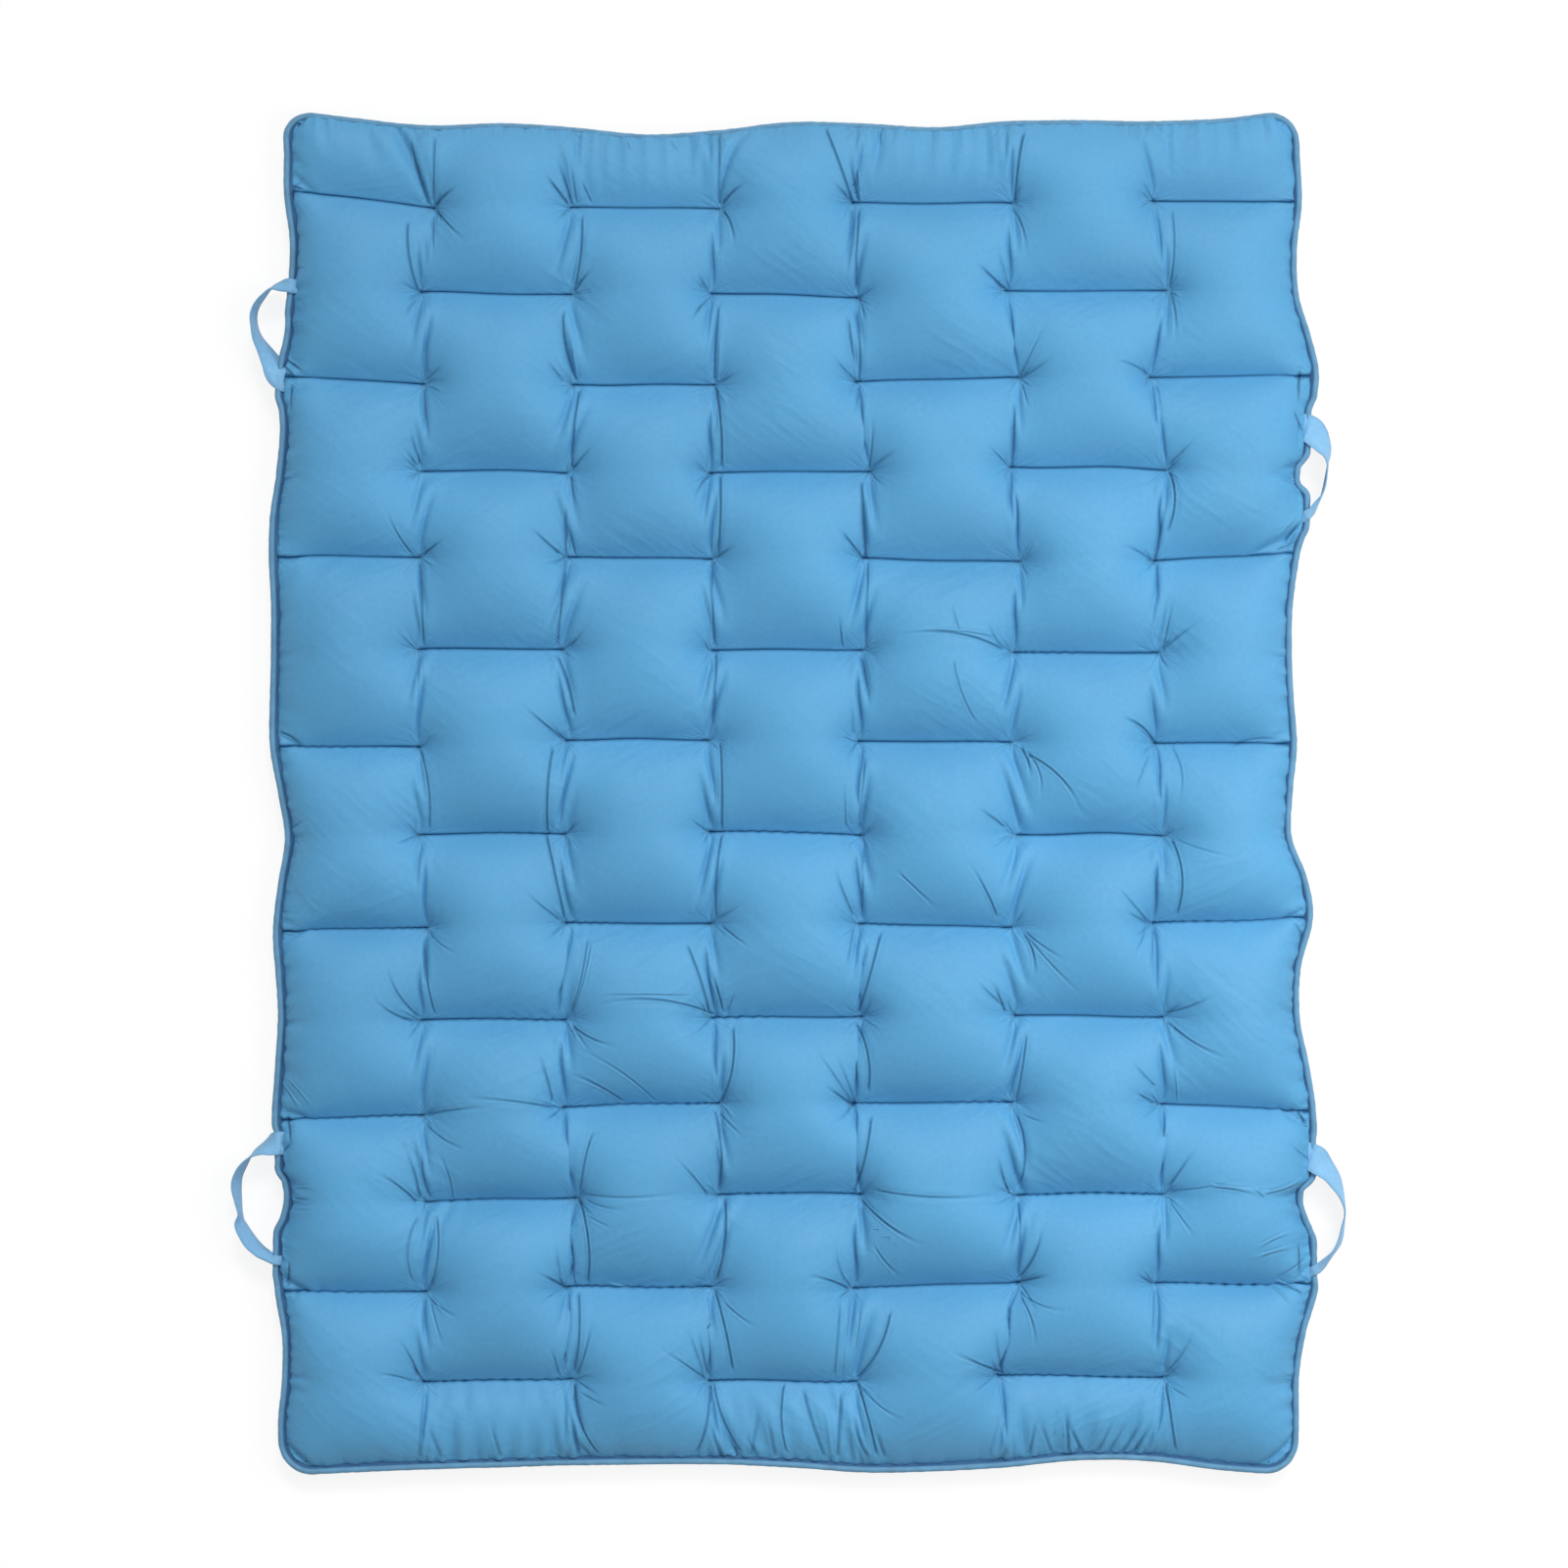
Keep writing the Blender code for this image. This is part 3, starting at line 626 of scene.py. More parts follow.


# The folds that stand out, listed: from X, Y to X, Y, bow and height
MARKED_FOLDS = tuple(Fold(*row) for row in (
    # The rear left quarter
    (-323, 527, -339, 583, 1, -11), (-319, 530, -317, 588, 0, -9), (-317, 526, -296, 541, 1, -12),
    (-316, 521, -289, 491, -1, -10), (-319, 512, -318, 474, 0, -6), (-333, 450, -341, 512, 3, -11),
    (-330, 453, -332, 497, 0, -7), (-333, 442, -343, 421, -2, -8), (-324, 374, -325, 410, 0, -6),
    (-324, 370, -309, 381, 0, -8), (-327, 362, -324, 318, 0, -10), (-330, 293, -340, 326, 0, -11),
    (-333, 292, -343, 306, 0, -8), (-338, 213, -361, 254, 2, -9), (-329, 212, -308, 227, 0, -10),
    (-331, 206, -328, 131, 1, -10), (-332, 120, -331, 78, 0, -6), (-198, 527, -220, 554, 0, -13),
    (-195, 527, -208, 572, 0, -12), (-191, 529, -196, 562, 0, -8), (-178, 529, -188, 551, 0, -8),
    (-193, 449, -186, 518, -3, -11), (-192, 449, -176, 468, 1, -11), (-191, 370, -202, 432, 4, -11),
    (-190, 370, -195, 412, 0, 7), (-202, 368, -218, 387, 0, -9), (-195, 291, -188, 362, 1, -12),
    (-194, 290, -175, 311, 0, -10), (-196, 284, -192, 255, 0, -11), (-200, 212, -201, 262, 0, -10),
    (-206, 214, -233, 238, 0, -11), (-192, 213, -198, 240, 0, -9), (-200, 208, -208, 130, 0, -10),
    (-207, 122, -192, 68, 2, -13), (-196, 131, -183, 146, 0, -7), (-203, 48, -241, 80, 0, -11),
    (-63, 527, -63, 591, 0, -9), (-60, 527, -37, 545, 2, -12), (-60, 522, -50, 489, 3, -11),
    (-71, 447, -81, 461, 0, -10), (-71, 444, -88, 417, -2, -10), (-67, 370, -63, 438, 1, -10),
    (-64, 368, -61, 414, 0, 7), (-64, 367, -48, 374, 0, -8), (-66, 364, -61, 290, 2, -13),
    (-70, 286, -84, 258, -3, -9), (-62, 284, -64, 213, 1, -13), (-66, 210, -50, 220, 0, -9),
    (-69, 206, -67, 131, -1, -10), (-66, 126, -69, 60, 1, -10),
    # The rear right quarter
    (56, 530, 32, 596, 0, -13), (61, 531, 53, 573, 0, -12), (64, 531, 60, 568, 0, 8),
    (54, 531, 36, 547, 0, -7), (56, 522, 55, 488, 0, -8), (62, 521, 60, 448, -1, -11),
    (202, 529, 210, 592, 2, -13), (200, 523, 211, 480, 3, -9), (194, 451, 166, 474, 1, -14),
    (196, 452, 184, 492, 0, -7), (62, 444, 67, 420, 1, -10), (62, 369, 59, 432, -2, -10),
    (60, 369, 54, 424, 0, 7), (60, 368, 39, 388, 0, -11), (62, 364, 60, 335, 0, -7),
    (206, 371, 236, 390, -1, -9), (206, 373, 229, 422, 0, -7), (208, 366, 213, 344, 0, -7),
    (199, 292, 201, 350, 0, -9), (323, 373, 285, 385, -3, -8), (328, 366, 331, 332, 1, -6),
    (340, 452, 342, 522, -2, -8), (341, 448, 344, 402, 2, -9), (326, 530, 314, 549, 0, -8),
    (72, 291, 100, 308, 0, -8), (71, 290, 74, 338, -1, -8), (68, 211, 64, 280, 0, -12),
    (65, 211, 43, 237, 0, -13), (47, 131, 44, 158, 0, -9), (70, 207, 68, 130, 0, -9),
    (196, 293, 175, 311, 0, -7), (339, 293, 361, 316, 0, -9), (340, 288, 337, 232, 5, -11),
    (327, 208, 333, 256, -1, -12), (325, 207, 296, 220, -2, -9), (329, 205, 328, 166, 0, -10),
    (334, 128, 342, 176, 0, -7), (334, 129, 368, 156, 0, -9), (191, 128, 88, 138, -10, -11),
    (180, 141, 92, 142, -4, 8), (190, 130, 177, 154, 2, -8), (151, 144, 143, 170, 0, -7),
    (146, 116, 166, 64, -3, -8), (64, 122, 71, 74, 1, -11), (57, 52, 56, 86, 0, -7),
    # The front left quarter
    (-332, 42, -323, -34, 5, -10), (-217, -35, -211, 42, 2, -12), (-218, -38, -201, -117, 1, -12),
    (-206, -114, -238, -87, 0, -9), (-62, 44, -61, -34, 1, -12), (-61, -38, -66, -112, -2, -11),
    (-62, -112, -42, -99, 0, -7), (-60, -120, -36, -138, 0, -9), (-322, -126, -295, -144, -2, -7),
    (-318, -197, -326, -132, 2, -10), (-333, -200, -361, -150, 4, -10), (-336, -205, -372, -182, 3, -10),
    (-195, -197, -181, -130, -2, -8), (-192, -196, -176, -134, -2, 7), (-67, -199, -190, -196, -14, -11),
    (-72, -197, -92, -135, -2, -11), (-60, -195, -71, -158, -1, -12), (-56, -196, -48, -176, 0, -8),
    (-194, -209, -152, -226, -3, -10), (-193, -210, -179, -230, 0, -8), (-148, -277, -200, -250, -3, -11),
    (-120, -276, -196, -226, -6, -7), (-212, -276, -226, -229, -2, -11), (-61, -277, -51, -208, -5, -12),
    (-325, -289, -265, -280, 2, -9), (-211, -282, -300, -273, -4, -9), (-325, -297, -285, -319, -3, -9),
    (-331, -364, -346, -312, -3, -12), (-322, -362, -328, -310, 3, -10), (-302, -364, -316, -318, -4, -8),
    (-334, -367, -370, -338, -3, -11), (-187, -360, -176, -303, 2, -10), (-185, -359, -92, -357, -2, -7),
    (-188, -364, -181, -440, 5, -13), (-73, -361, -104, -324, -2, -10), (-66, -285, -64, -359, 4, -12),
    (-63, -287, -42, -307, 0, -8), (-58, -364, -66, -438, 4, -14), (-199, -445, -224, -428, -1, -12),
    (-204, -441, -209, -398, 0, -8), (-192, -441, -196, -396, 1, -7), (-182, -364, -144, -371, -2, -7),
    (-180, -378, -158, -388, 0, -6), (-67, -446, -51, -517, 2, -13), (-58, -456, -30, -476, -1, -8),
    (-323, -453, -295, -469, 0, -8), (-327, -453, -325, -490, 0, -8), (-321, -456, -308, -498, 0, -7),
    (-333, -522, -350, -488, -3, -10), (-337, -527, -369, -518, -2, -8), (-207, -521, -214, -495, -1, -9),
    (-189, -448, -193, -520, 3, -11), (-190, -521, -177, -468, -2, -10), (-73, -521, -82, -478, 0, -11),
    (-77, -522, -95, -472, -2, -9), (-76, -525, -116, -495, -2, -10), (-331, -378, -337, -438, -7, -8),
    (-320, -440, -316, -378, -4, -9),
    # The front right quarter
    (327, 45, 291, 68, -5, -14), (342, 42, 344, -12, 7, -7), (322, 34, 306, -8, -1, -7),
    (213, 34, 263, -24, 8, -11), (214, 34, 223, -6, 5, -8), (207, 40, 215, 14, 2, -12),
    (192, -31, 166, -13, -1, -10), (50, -30, 48, 12, 0, -7), (62, -34, 67, 30, 0, -8),
    (57, -110, 38, -60, 1, -10), (64, -112, 66, -46, 0, -7), (98, -72, 134, -106, 0, -8),
    (185, -110, 158, -60, -2, -11), (342, -42, 346, -110, 6, -12), (346, -42, 399, -58, -2, -6),
    (320, -116, 287, -80, -1, -9), (320, -117, 300, -106, 0, -9), (319, -122, 309, -145, 0, -7),
    (326, -122, 323, -164, 0, -7), (209, -126, 217, -168, 5, -12), (212, -126, 248, -151, -1, -8),
    (212, -128, 264, -183, -2, -8), (193, -196, 182, -170, 0, -13), (190, -190, 166, -168, 0, -9),
    (62, -197, 82, -124, 0, -12), (58, -120, 51, -162, 0, -8), (60, -206, 70, -268, 5, -12),
    (56, -279, 18, -224, -2, -9), (58, -278, 38, -230, -2, -8), (58, -281, 32, -261, 0, -13),
    (58, -358, 73, -288, -2, -12), (203, -276, 212, -214, 0, -9), (203, -288, 205, -352, 6, -10),
    (208, -288, 228, -295, 0, -7), (197, -359, 186, -320, 2, -12), (326, -278, 308, -267, 0, -10),
    (326, -262, 304, -239, 0, -9), (338, -205, 394, -238, -4, -11), (348, -275, 344, -240, 0, 7),
    (338, -197, 382, -178, -2, -10), (64, -364, 122, -404, -4, -13), (78, -355, 194, -359, -3, -9),
    (76, -405, 101, -434, -2, -8), (53, -445, 16, -430, -3, -12), (50, -438, 41, -400, 2, -8),
    (203, -439, 232, -430, 0, -12), (206, -434, 225, -384, -4, -13), (204, -366, 204, -432, 2, -8),
    (205, -446, 248, -461, -4, -8), (206, -450, 219, -498, 4, -9), (190, -520, 144, -498, -1, -12),
    (190, -519, 183, -470, 1, -9), (61, -524, 90, -462, -5, -13), (40, -520, 46, -456, 0, -9),
    (49, -519, 52, -464, 0, 7), (60, -498, 64, -450, 0, -8), (325, -440, 310, -430, 0, -8),
    (327, -446, 324, -494, 0, -8), (340, -366, 362, -398, 0, -8), (337, -520, 361, -476, -2, -9),
    (339, -352, 362, -315, 0, -10), (340, -357, 400, -345, -1, -7),
    # The pleats of the front end
    (-331, -594, -326, -545, 0, -8), (-312, -595, -324, -562, 0, -7), (-259, -594, -268, -558, 0, -9),
    (-189, -594, -199, -542, -1, -11), (-192, -529, -170, -593, -6, -13), (-177, -595, -189, -580, 0, -9),
    (-186, -537, -164, -547, 0, -7), (-71, -530, -84, -592, 4, -11), (-68, -530, -42, -592, -4, -10),
    (-60, -595, -70, -558, 2, -10), (-34, -594, -27, -545, 0, -9), (-13, -594, -22, -546, 0, -8),
    (-29, -594, -40, -572, 0, -9), (-47, -594, -53, -578, 0, -9), (-5, -530, -2, -592, -4, -11),
    (31, -594, 12, -534, 1, -10), (38, -594, 32, -540, 0, 8), (43, -594, 46, -536, 0, -10),
    (61, -529, 78, -593, 1, -14), (70, -594, 59, -548, 4, -12), (66, -534, 104, -560, -3, -8),
    (85, -594, 77, -568, 0, -10), (178, -593, 192, -545, 0, -6), (215, -592, 221, -556, 0, -10),
    (235, -592, 222, -556, 0, -9), (250, -591, 247, -545, 0, -13), (262, -591, 248, -560, 0, -12),
    (264, -591, 284, -554, 0, 9), (276, -591, 292, -556, 0, -10), (287, -591, 304, -558, 0, -8),
    (299, -591, 318, -555, 0, -10), (308, -592, 324, -562, 0, -11), (337, -529, 346, -590, -1, -12),
    (340, -531, 357, -541, 0, -7), (-146, 583, -142, 574, 0, -6), (-107, 585, -101, 574, 0, -6),
    (81, 594, 81, 578, 0, -7),
    # The roots of the left loops
    (-450, -290, -447, -317, 1, -14), (-447, -315, -457, -325, 0, -12), (-458, -407, -454, -419, 0, -11),
    (-448, -421, -451, -446, 1, -14), (-444, -354, -424, -352, 1, 8), (-445, -363, -428, -364, 0, -8),
    (-444, -371, -424, -369, -1, 8), (-454, -261, -437, -284, 1, 10), (-448, -256, -425, -283, 1, 8),
    (-457, 392, -434, 374, 1, -14), (-456, 386, -440, 371, 1, 12), (-455, 399, -446, 378, -1, 9),
    (-446, 364, -447, 340, 0, -12), (-450, 420, -438, 424, 0, 8), (-449, 468, -433, 472, 1, 9),
    (-452, 546, -430, 538, 0, -10), (-449, 538, -436, 550, 0, -8), (-456, 54, -438, 42, 2, -10),
    (-449, -34, -434, -25, 0, -8),
    # The roots of the right loops
    (457, 377, 457, 345, -1, -13), (452, 340, 461, 320, 0, -12), (444, 226, 461, 244, 1, -14),
    (448, 221, 460, 237, 1, 11), (440, 232, 452, 246, 0, 9), (436, 217, 455, 226, 0, -9),
    (454, -285, 463, -301, 1, -12), (456, -406, 456, -437, 0, -13), (444, -441, 463, -452, 1, -12),
    (436, -437, 459, -448, 1, 10), (377, -350, 419, -356, 1, 13), (424, -356, 462, -344, -2, 14),
    (415, -352, 424, -360, 0, 9), (432, -441, 452, -461, 1, 9), (420, -404, 450, -392, 2, 10),
    (419, -413, 452, -405, 1, 11), (-160, -440, -130, -452, 2, 8), (467, -330, 446, -314, 0, -9),
    (461, -418, 434, -436, 0, -8), (452, -116, 463, -134, 0, -8), (398, 43, 450, 44, 5, -6),
))


@dataclass
class Gathers:
    """The short folds that sewing gives to a filled cover, drawn by rule and the same on every run.

    Sizes are in millimetres, heights in tenths of a millimetre and angles in degrees.
    """

    plan: PadPlan
    seed: int = 12
    turns: tuple[float, float] = (22, 70)
    lengths: tuple[float, float] = (9, 17)
    heights: tuple[float, float] = (4, 8)
    growth: float = 0.7
    bow_share: float = 0.06

    def from_pin(self, pin: Array, run: Array, turn: float, bow: float, height: float) -> Fold:
        """A fold from a seam end, along a run turned by an angle."""
        c, s = math.cos(math.radians(turn)), math.sin(math.radians(turn))
        end = pin + np.array([run[0] * c - run[1] * s, run[0] * s + run[1] * c])
        return Fold(*pin, *end, bow, height)

    def all(self) -> tuple[Fold, ...]:
        """Let folds fan out of each seam end, longer towards the front, where the cover is looser."""
        plan, draw, folds = self.plan, np.random.default_rng(self.seed), list(MARKED_FOLDS)
        lines, rows = np.meshgrid(np.arange(plan.columns + 1), np.arange(plan.rows + 1), indexing="ij")
        x, y = plan.settled(lines * plan.column_width - plan.half_width, plan.row_y(rows))
        for line in range(1, plan.columns):
            for row in range(1, plan.rows):
                pin = np.array([x[line, row], y[line, row]]) * 1000
                outward = 1 if plan.has_seam(line - 1, row) else -1
                growth = 1 + self.growth * row / plan.rows
                for way in (1, -1):
                    length = draw.uniform(*self.lengths) * growth
                    turn = way * outward * draw.uniform(*self.turns)
                    bow = draw.uniform(-self.bow_share, self.bow_share) * length
                    height = draw.choice((-1, 1)) * draw.uniform(*self.heights)
                    folds.append(self.from_pin(pin, np.array([outward * length, 0.0]), turn, bow, height))
        return tuple(folds)


@dataclass
class FoldLayers:
    """The folds, shared out over layers in which no two come near each other.

    The top cover's points carry, for each layer, how far they lie beside its nearest fold and how high that
    fold stands there. The cover's finish draws the fine line of each fold from these, as a bump and as
    painted shade. A fold that fits into no layer gets no drawn line. The widths, the front pleats' Y and
    far_off are in millimetres.
    """

    folds: tuple[Fold, ...]
    count: int = 8
    reach: float = 0.010
    full_reach: float = 0.0065
    spacing: float = 0.021
    crease_width: float = 1.0
    pleat_width: float = 1.6
    spread: float = 1.1
    front_pleats: float = -570
    far_off: float = 30.0
    layers: list[list[Fold]] = field(init=False)

    def __post_init__(self) -> None:
        """Share the folds out, the highest first."""
        self.layers = [[] for _ in range(self.count)]
        for fold in sorted(self.folds, key=lambda one: -abs(one.height)):
            for layer in self.layers:
                if all(self.apart(fold, other) for other in layer):
                    layer.append(fold)
                    break
        LOG.info("fold lines: %d of %d", sum(map(len, self.layers)), len(self.folds))

    def apart(self, one: Fold, other: Fold) -> bool:
        """Whether two folds keep their distance."""
        gaps = np.linalg.norm(one.course()[:, None] - other.course()[None, :], axis=-1)
        return gaps.min() > self.spacing

    def read(self, x: Array, y: Array) -> dict[str, Array]:
        """Work out what the points carry.

        Args:
            x: The points' X.
            y: Their Y.

        Returns:
            For each layer's name, the distance beside the fold, its height and half width, in millimetres.
        """
        carried = {}
        for number, layer in enumerate(self.layers):
            values = np.zeros((len(x), 3))
            values[:, [0, 2]] = self.far_off, self.crease_width
            nearest = np.full(len(x), np.inf)
            for fold in layer:
                close = fold.near(x, y, 2 * self.reach)
                beside, past, fade = fold.place(x[close], y[close])
                gap = np.hypot(beside, past)
                closer = gap < nearest[close]
                where = np.flatnonzero(close)[closer]
                nearest[where] = gap[closer]
                kept = smooth_step((self.reach - np.abs(beside)) / (self.reach - self.full_reach))
                values[where, 0] = beside[closer] * 1000
                values[where, 1] = (fold.height / 10 * fade * kept)[closer]
                width = self.pleat_width if fold.from_y < self.front_pleats else self.crease_width
                values[where, 2] = width * (1 + self.spread * (1 - fade[closer]))
            carried[f"fold_{number}"] = values
        return carried


@dataclass
class QuiltedBody:
    """The two covers and the fill between them, as one soft closed body."""

    plan: PadPlan
    folds: tuple[Fold, ...]
    crowding: float = 0.58
    side_insets: tuple[float, float] = (0.0054, 0.0038)
    end_insets: tuple[float, float] = (0.0052, 0.0012)
    corner_inset: float = 0.004
    border_lift: float = 0.0006
    edge_wander: float = 0.0009
    edge_size: float = 0.012
    edge_seed: int = 31
    strap_room: float = 0.0027
    strap_cover: float = 0.0052
    pressed_beside: float = 0.006
    pressed_inward: float = 0.004
    seam_lift: float = 0.0004
    first_puff: float = 0.016
    open_height: float = 0.1
    slack_across: float = 0.055
    slack_swing: float = 0.05
    slack_along: float = 0.047
    slack_drift: float = 0.012
    slack_size: float = 0.15
    slack_seeds: tuple[int, int] = (3, 4)
    levels: tuple[tuple[int, int, int], ...] = ((9, 6, 400), (17, 11, 300), (34, 22, 220))
    pressures: tuple[float, ...] = (1e-4, 0.4e-4, 1.5e-5)
    bend_stiffness: float = 0.02
    squeeze_stiffness: float = 1.0
    shear_stiffness: float = 0.2
    passes: int = 2
    looseness: float = 0.02
    loose_grade: float = 1.4
    line_width: float = 0.012
    line_ease: float = 0.045
    fold_width: float = 0.0021
    fold_strength: float = 1.1
    fold_reach: float = 0.014
    cleft_rise: float = 0.0021
    cleft_start: float = 0.0010
    cleft_reach: float = 0.005
    cleft_beside: int = 7
    cleft_past: int = 2

    def fold(self, places: Array) -> Array:
        """Press the folds into a blown-up cover.

        Args:
            places: Its points.

        Returns:
            The folded points.
        """
        across, along = np.gradient(places, axis=0), np.gradient(places, axis=1)
        normals = np.cross(across, along)
        normals /= np.linalg.norm(normals, axis=-1, keepdims=True)
        lift = self.cleft(places)
        for fold in self.folds:
            near = fold.near(places[..., 0], places[..., 1], self.fold_reach)
            x, y = places[near][:, 0], places[near][:, 1]
            lift[near] += self.fold_strength * fold.lift(x, y, self.fold_width)
        return places + normals * lift[..., None]

    def cleft(self, places: Array) -> Array:
        """Let the cloth stand up steeply on both sides of each seam and a few points past its ends.

        Args:
            places: The cover's points.

        Returns:
            How far each point rises, in metres.
        """
        plan, past = self.plan, self.cleft_past
        across, along = plan.cell_steps(places)
        lift = np.zeros(places.shape[:2])
        for column, j in plan.seams(along):
            first, last = column * across, (column + 1) * across
            for i in range(max(first - past, 1), min(last + past + 1, places.shape[0] - 1)):
                fade = 1 - max(first - i, i - last, 0) / (past + 1)
                for step in range(-self.cleft_beside, self.cleft_beside + 1):
                    away = float(np.linalg.norm(places[i, j + step] - places[i, j]))
                    rise = 1 - math.exp(-((away / self.cleft_start) ** 2))
                    rise *= math.exp(-away / self.cleft_reach)
                    lift[i, j + step] = max(lift[i, j + step], self.cleft_rise * fade * rise)
        return lift

    def lines(self, cells: int, count: int, half: float, insets: tuple[float, float]) -> Array:
        """Space the grid along one direction, closer together at the seams and the edge.

        Args:
            cells: Steps to one cell of the quilting.
            count: Cells of the quilting.
            half: Half the length.
            insets: How far inside the piping the cover starts at each end.

        Returns:
            The places.
        """
        cell = graded(cells, self.crowding)
        places = np.concatenate([k + cell for k in range(count)] + [[count]])
        low, high = (inset * count / (2 * half) for inset in insets)
        places = places + low * np.clip(1 - places, 0, 1) - high * np.clip(places - count + 1, 0, 1)
        return (places / count * 2 - 1) * half

    def even_grid(self, across: int, along: int) -> tuple[Array, Array]:
        """Lay the grid out on the even plan, with the corners rounded.

        Args:
            across: Steps to one column of the quilting.
            along: Steps to one row.

        Returns:
            The X and Y of its points, as columns x rows.
        """
        plan = self.plan
        x, y = np.meshgrid(
            self.lines(across, plan.columns, plan.half_width, self.side_insets),
            self.lines(along, plan.rows, plan.half_length, self.end_insets),
            indexing="ij",
        )
        radius = plan.corner_radius - self.corner_inset
        corner_x = plan.half_width - np.where(x < 0, *self.side_insets) - radius
        corner_y = plan.half_length - np.where(y < 0, *self.end_insets) - radius
        u = np.clip((np.abs(x) - corner_x) / radius, 0, 1)
        v = np.clip((np.abs(y) - corner_y) / radius, 0, 1)
        in_corner = (u > 0) & (v > 0)
        round_x = np.sign(x) * (corner_x + radius * u * np.sqrt(1 - v * v / 2))
        round_y = np.sign(y) * (corner_y + radius * v * np.sqrt(1 - u * u / 2))
        return np.where(in_corner, round_x, x), np.where(in_corner, round_y, y)

    def feed_unevenly(self, px: Array, py: Array) -> None:
        """Let the cover's edge wander a little along the piping."""
        edges = (
            (px[0], py[0], 1), (px[-1], py[-1], -1), (py[:, 0], px[:, 0], 1), (py[:, -1], px[:, -1], -1),
        )
        for seed, (edge, run, inward) in enumerate(edges, self.edge_seed):
            edge += inward * self.edge_wander * drift(run * 0, run, self.edge_size, seed)

    def border_rise(self, x: Array, y: Array) -> Array:
        """How far the cover's edge stands off the seam height, so that it clears the piping."""
        plan = self.plan
        depth = np.minimum(plan.half_width - np.abs(x), plan.half_length - np.abs(y))
        return self.border_lift + np.sqrt(np.clip(plan.bead_radius ** 2 - depth ** 2, 0, None))

    def sewn_down(self, across: int, along: int) -> Array:
        """True where a grid point lies on a seam."""
        plan = self.plan
        sewn = np.zeros((plan.columns * across + 1, plan.rows * along + 1), bool)
        for column, j in plan.seams(along):
            sewn[column * across: (column + 1) * across + 1, j] = True
        return sewn

    def near_line(self, x: Array) -> Array:
        """How near each place is to a column line inside the pad, from 0 to 1."""
        plan = self.plan
        column = (x + plan.half_width) / plan.column_width
        line = np.clip(np.round(column), 1, plan.columns - 1)
        return np.exp(-(((column - line) * plan.column_width / self.line_width) ** 2))

    def looser(self, y: Array) -> Array:
        """How much looser the cover is cut at each Y, more towards the front end."""
        return self.looseness * smooth_step(0.5 - y / self.plan.length * self.loose_grade)

    def cut_lengths(
        self, x: Array, y: Array, px: Array, py: Array,
    ) -> tuple[Array, Array]:
        """Work out how long the cloth was cut between neighbouring points.

        Args:
            x, y: The points on the even plan.
            px, py: The points where the pad has settled.

        Returns:
            The lengths across and along.
        """
        plan, (across_seed, along_seed) = self.plan, self.slack_seeds
        mid_x, mid_y = (x[:-1] + x[1:]) / 2, (y[:-1] + y[1:]) / 2
        column = np.floor((mid_x + plan.half_width) / plan.column_width)
        row = (plan.half_length - mid_y) / plan.row_length
        slack = self.slack_across + self.looser(mid_y) + self.slack_swing * np.cos(np.pi * (row + column))
        slack += self.slack_drift * drift(mid_x, mid_y, self.slack_size, across_seed)
        cut_x = np.hypot(np.diff(px, axis=0), np.diff(py, axis=0)) * (1 + slack)
        mid_x, mid_y = (x[:, :-1] + x[:, 1:]) / 2, (y[:, :-1] + y[:, 1:]) / 2
        uneven = self.slack_drift * drift(mid_x, mid_y, self.slack_size, along_seed)
        slack = self.slack_along + self.looser(mid_y) + uneven
        slack += self.line_ease * self.near_line(mid_x)
        cut_y = np.hypot(np.diff(px, axis=1), np.diff(py, axis=1)) * (1 + slack)
        return cut_x, cut_y

    def blow_up(self, face: Face, levels: int | None = None) -> Array:
        """Blow one cover up between its seams, on ever finer grids.

        Args:
            face: Which cover.
            levels: How many of the grids to use.

        Returns:
            Its points, as columns x rows x 3.
        """
        plan = self.plan
        places = None
        for (across, along, steps), pressure in list(zip(self.levels, self.pressures))[:levels]:
            x, y = self.even_grid(across, along)
            px, py = plan.settled(x, y)
            self.feed_unevenly(px, py)
            sewn = self.sewn_down(across, along)
            sewn[[0, -1], :] = sewn[:, [0, -1]] = True
            height = plan.seam_height + face.value * self.border_rise(x, y)
            height[1:-1, 1:-1] = plan.seam_height + face.value * self.seam_lift
            held = self.held_flat(x, y)
            if face is Face.TOP:
                height += held * self.strap_room
            target = np.stack([px, py, height], axis=-1)
            if places is None:
                places = target.copy()
                places[..., 2] += face.value * self.first_puff * ~sewn
            else:
                places = resample(places, x.shape)
            places[sewn] = target[sewn]
            cut_x, cut_y = self.cut_lengths(x, y, px, py)
            cloth = Cloth(
                places, cut_x, cut_y, (~sewn).astype(np.float32), outward=face.value, pressure=pressure,
                bend_stiffness=self.bend_stiffness, squeeze_stiffness=self.squeeze_stiffness,
                shear_stiffness=self.shear_stiffness,
            )
            if face is Face.TOP:
                cloth.floor = plan.seam_height + self.seam_lift
                drop = self.open_height - plan.seam_height - self.strap_cover
                cloth.ceiling = (self.open_height - held * drop).astype(np.float32)
            else:
                cloth.ceiling, cloth.floor = plan.seam_height, 0.0
            cloth.run(steps, self.passes)
            places = cloth.places
        return self.fold(places.astype(float)) if face is Face.TOP else places.astype(float)

    def held_flat(self, x: Array, y: Array) -> Array:
        """How firmly a sewn-in loop end holds the top cover flat at each point, from 0 to 1."""
        plan = self.plan
        held = np.zeros_like(x)
        for loop in plan.loops:
            inward = plan.half_width - loop.side.value * x
            for row, reach in zip(loop.rows, loop.pressed):
                beside = np.abs(y - plan.row_y(row)) - plan.strap_width / 2
                press = smooth_step(1 - beside / self.pressed_beside)
                held = np.maximum(held, press * smooth_step((reach - inward) / self.pressed_inward))
        return held

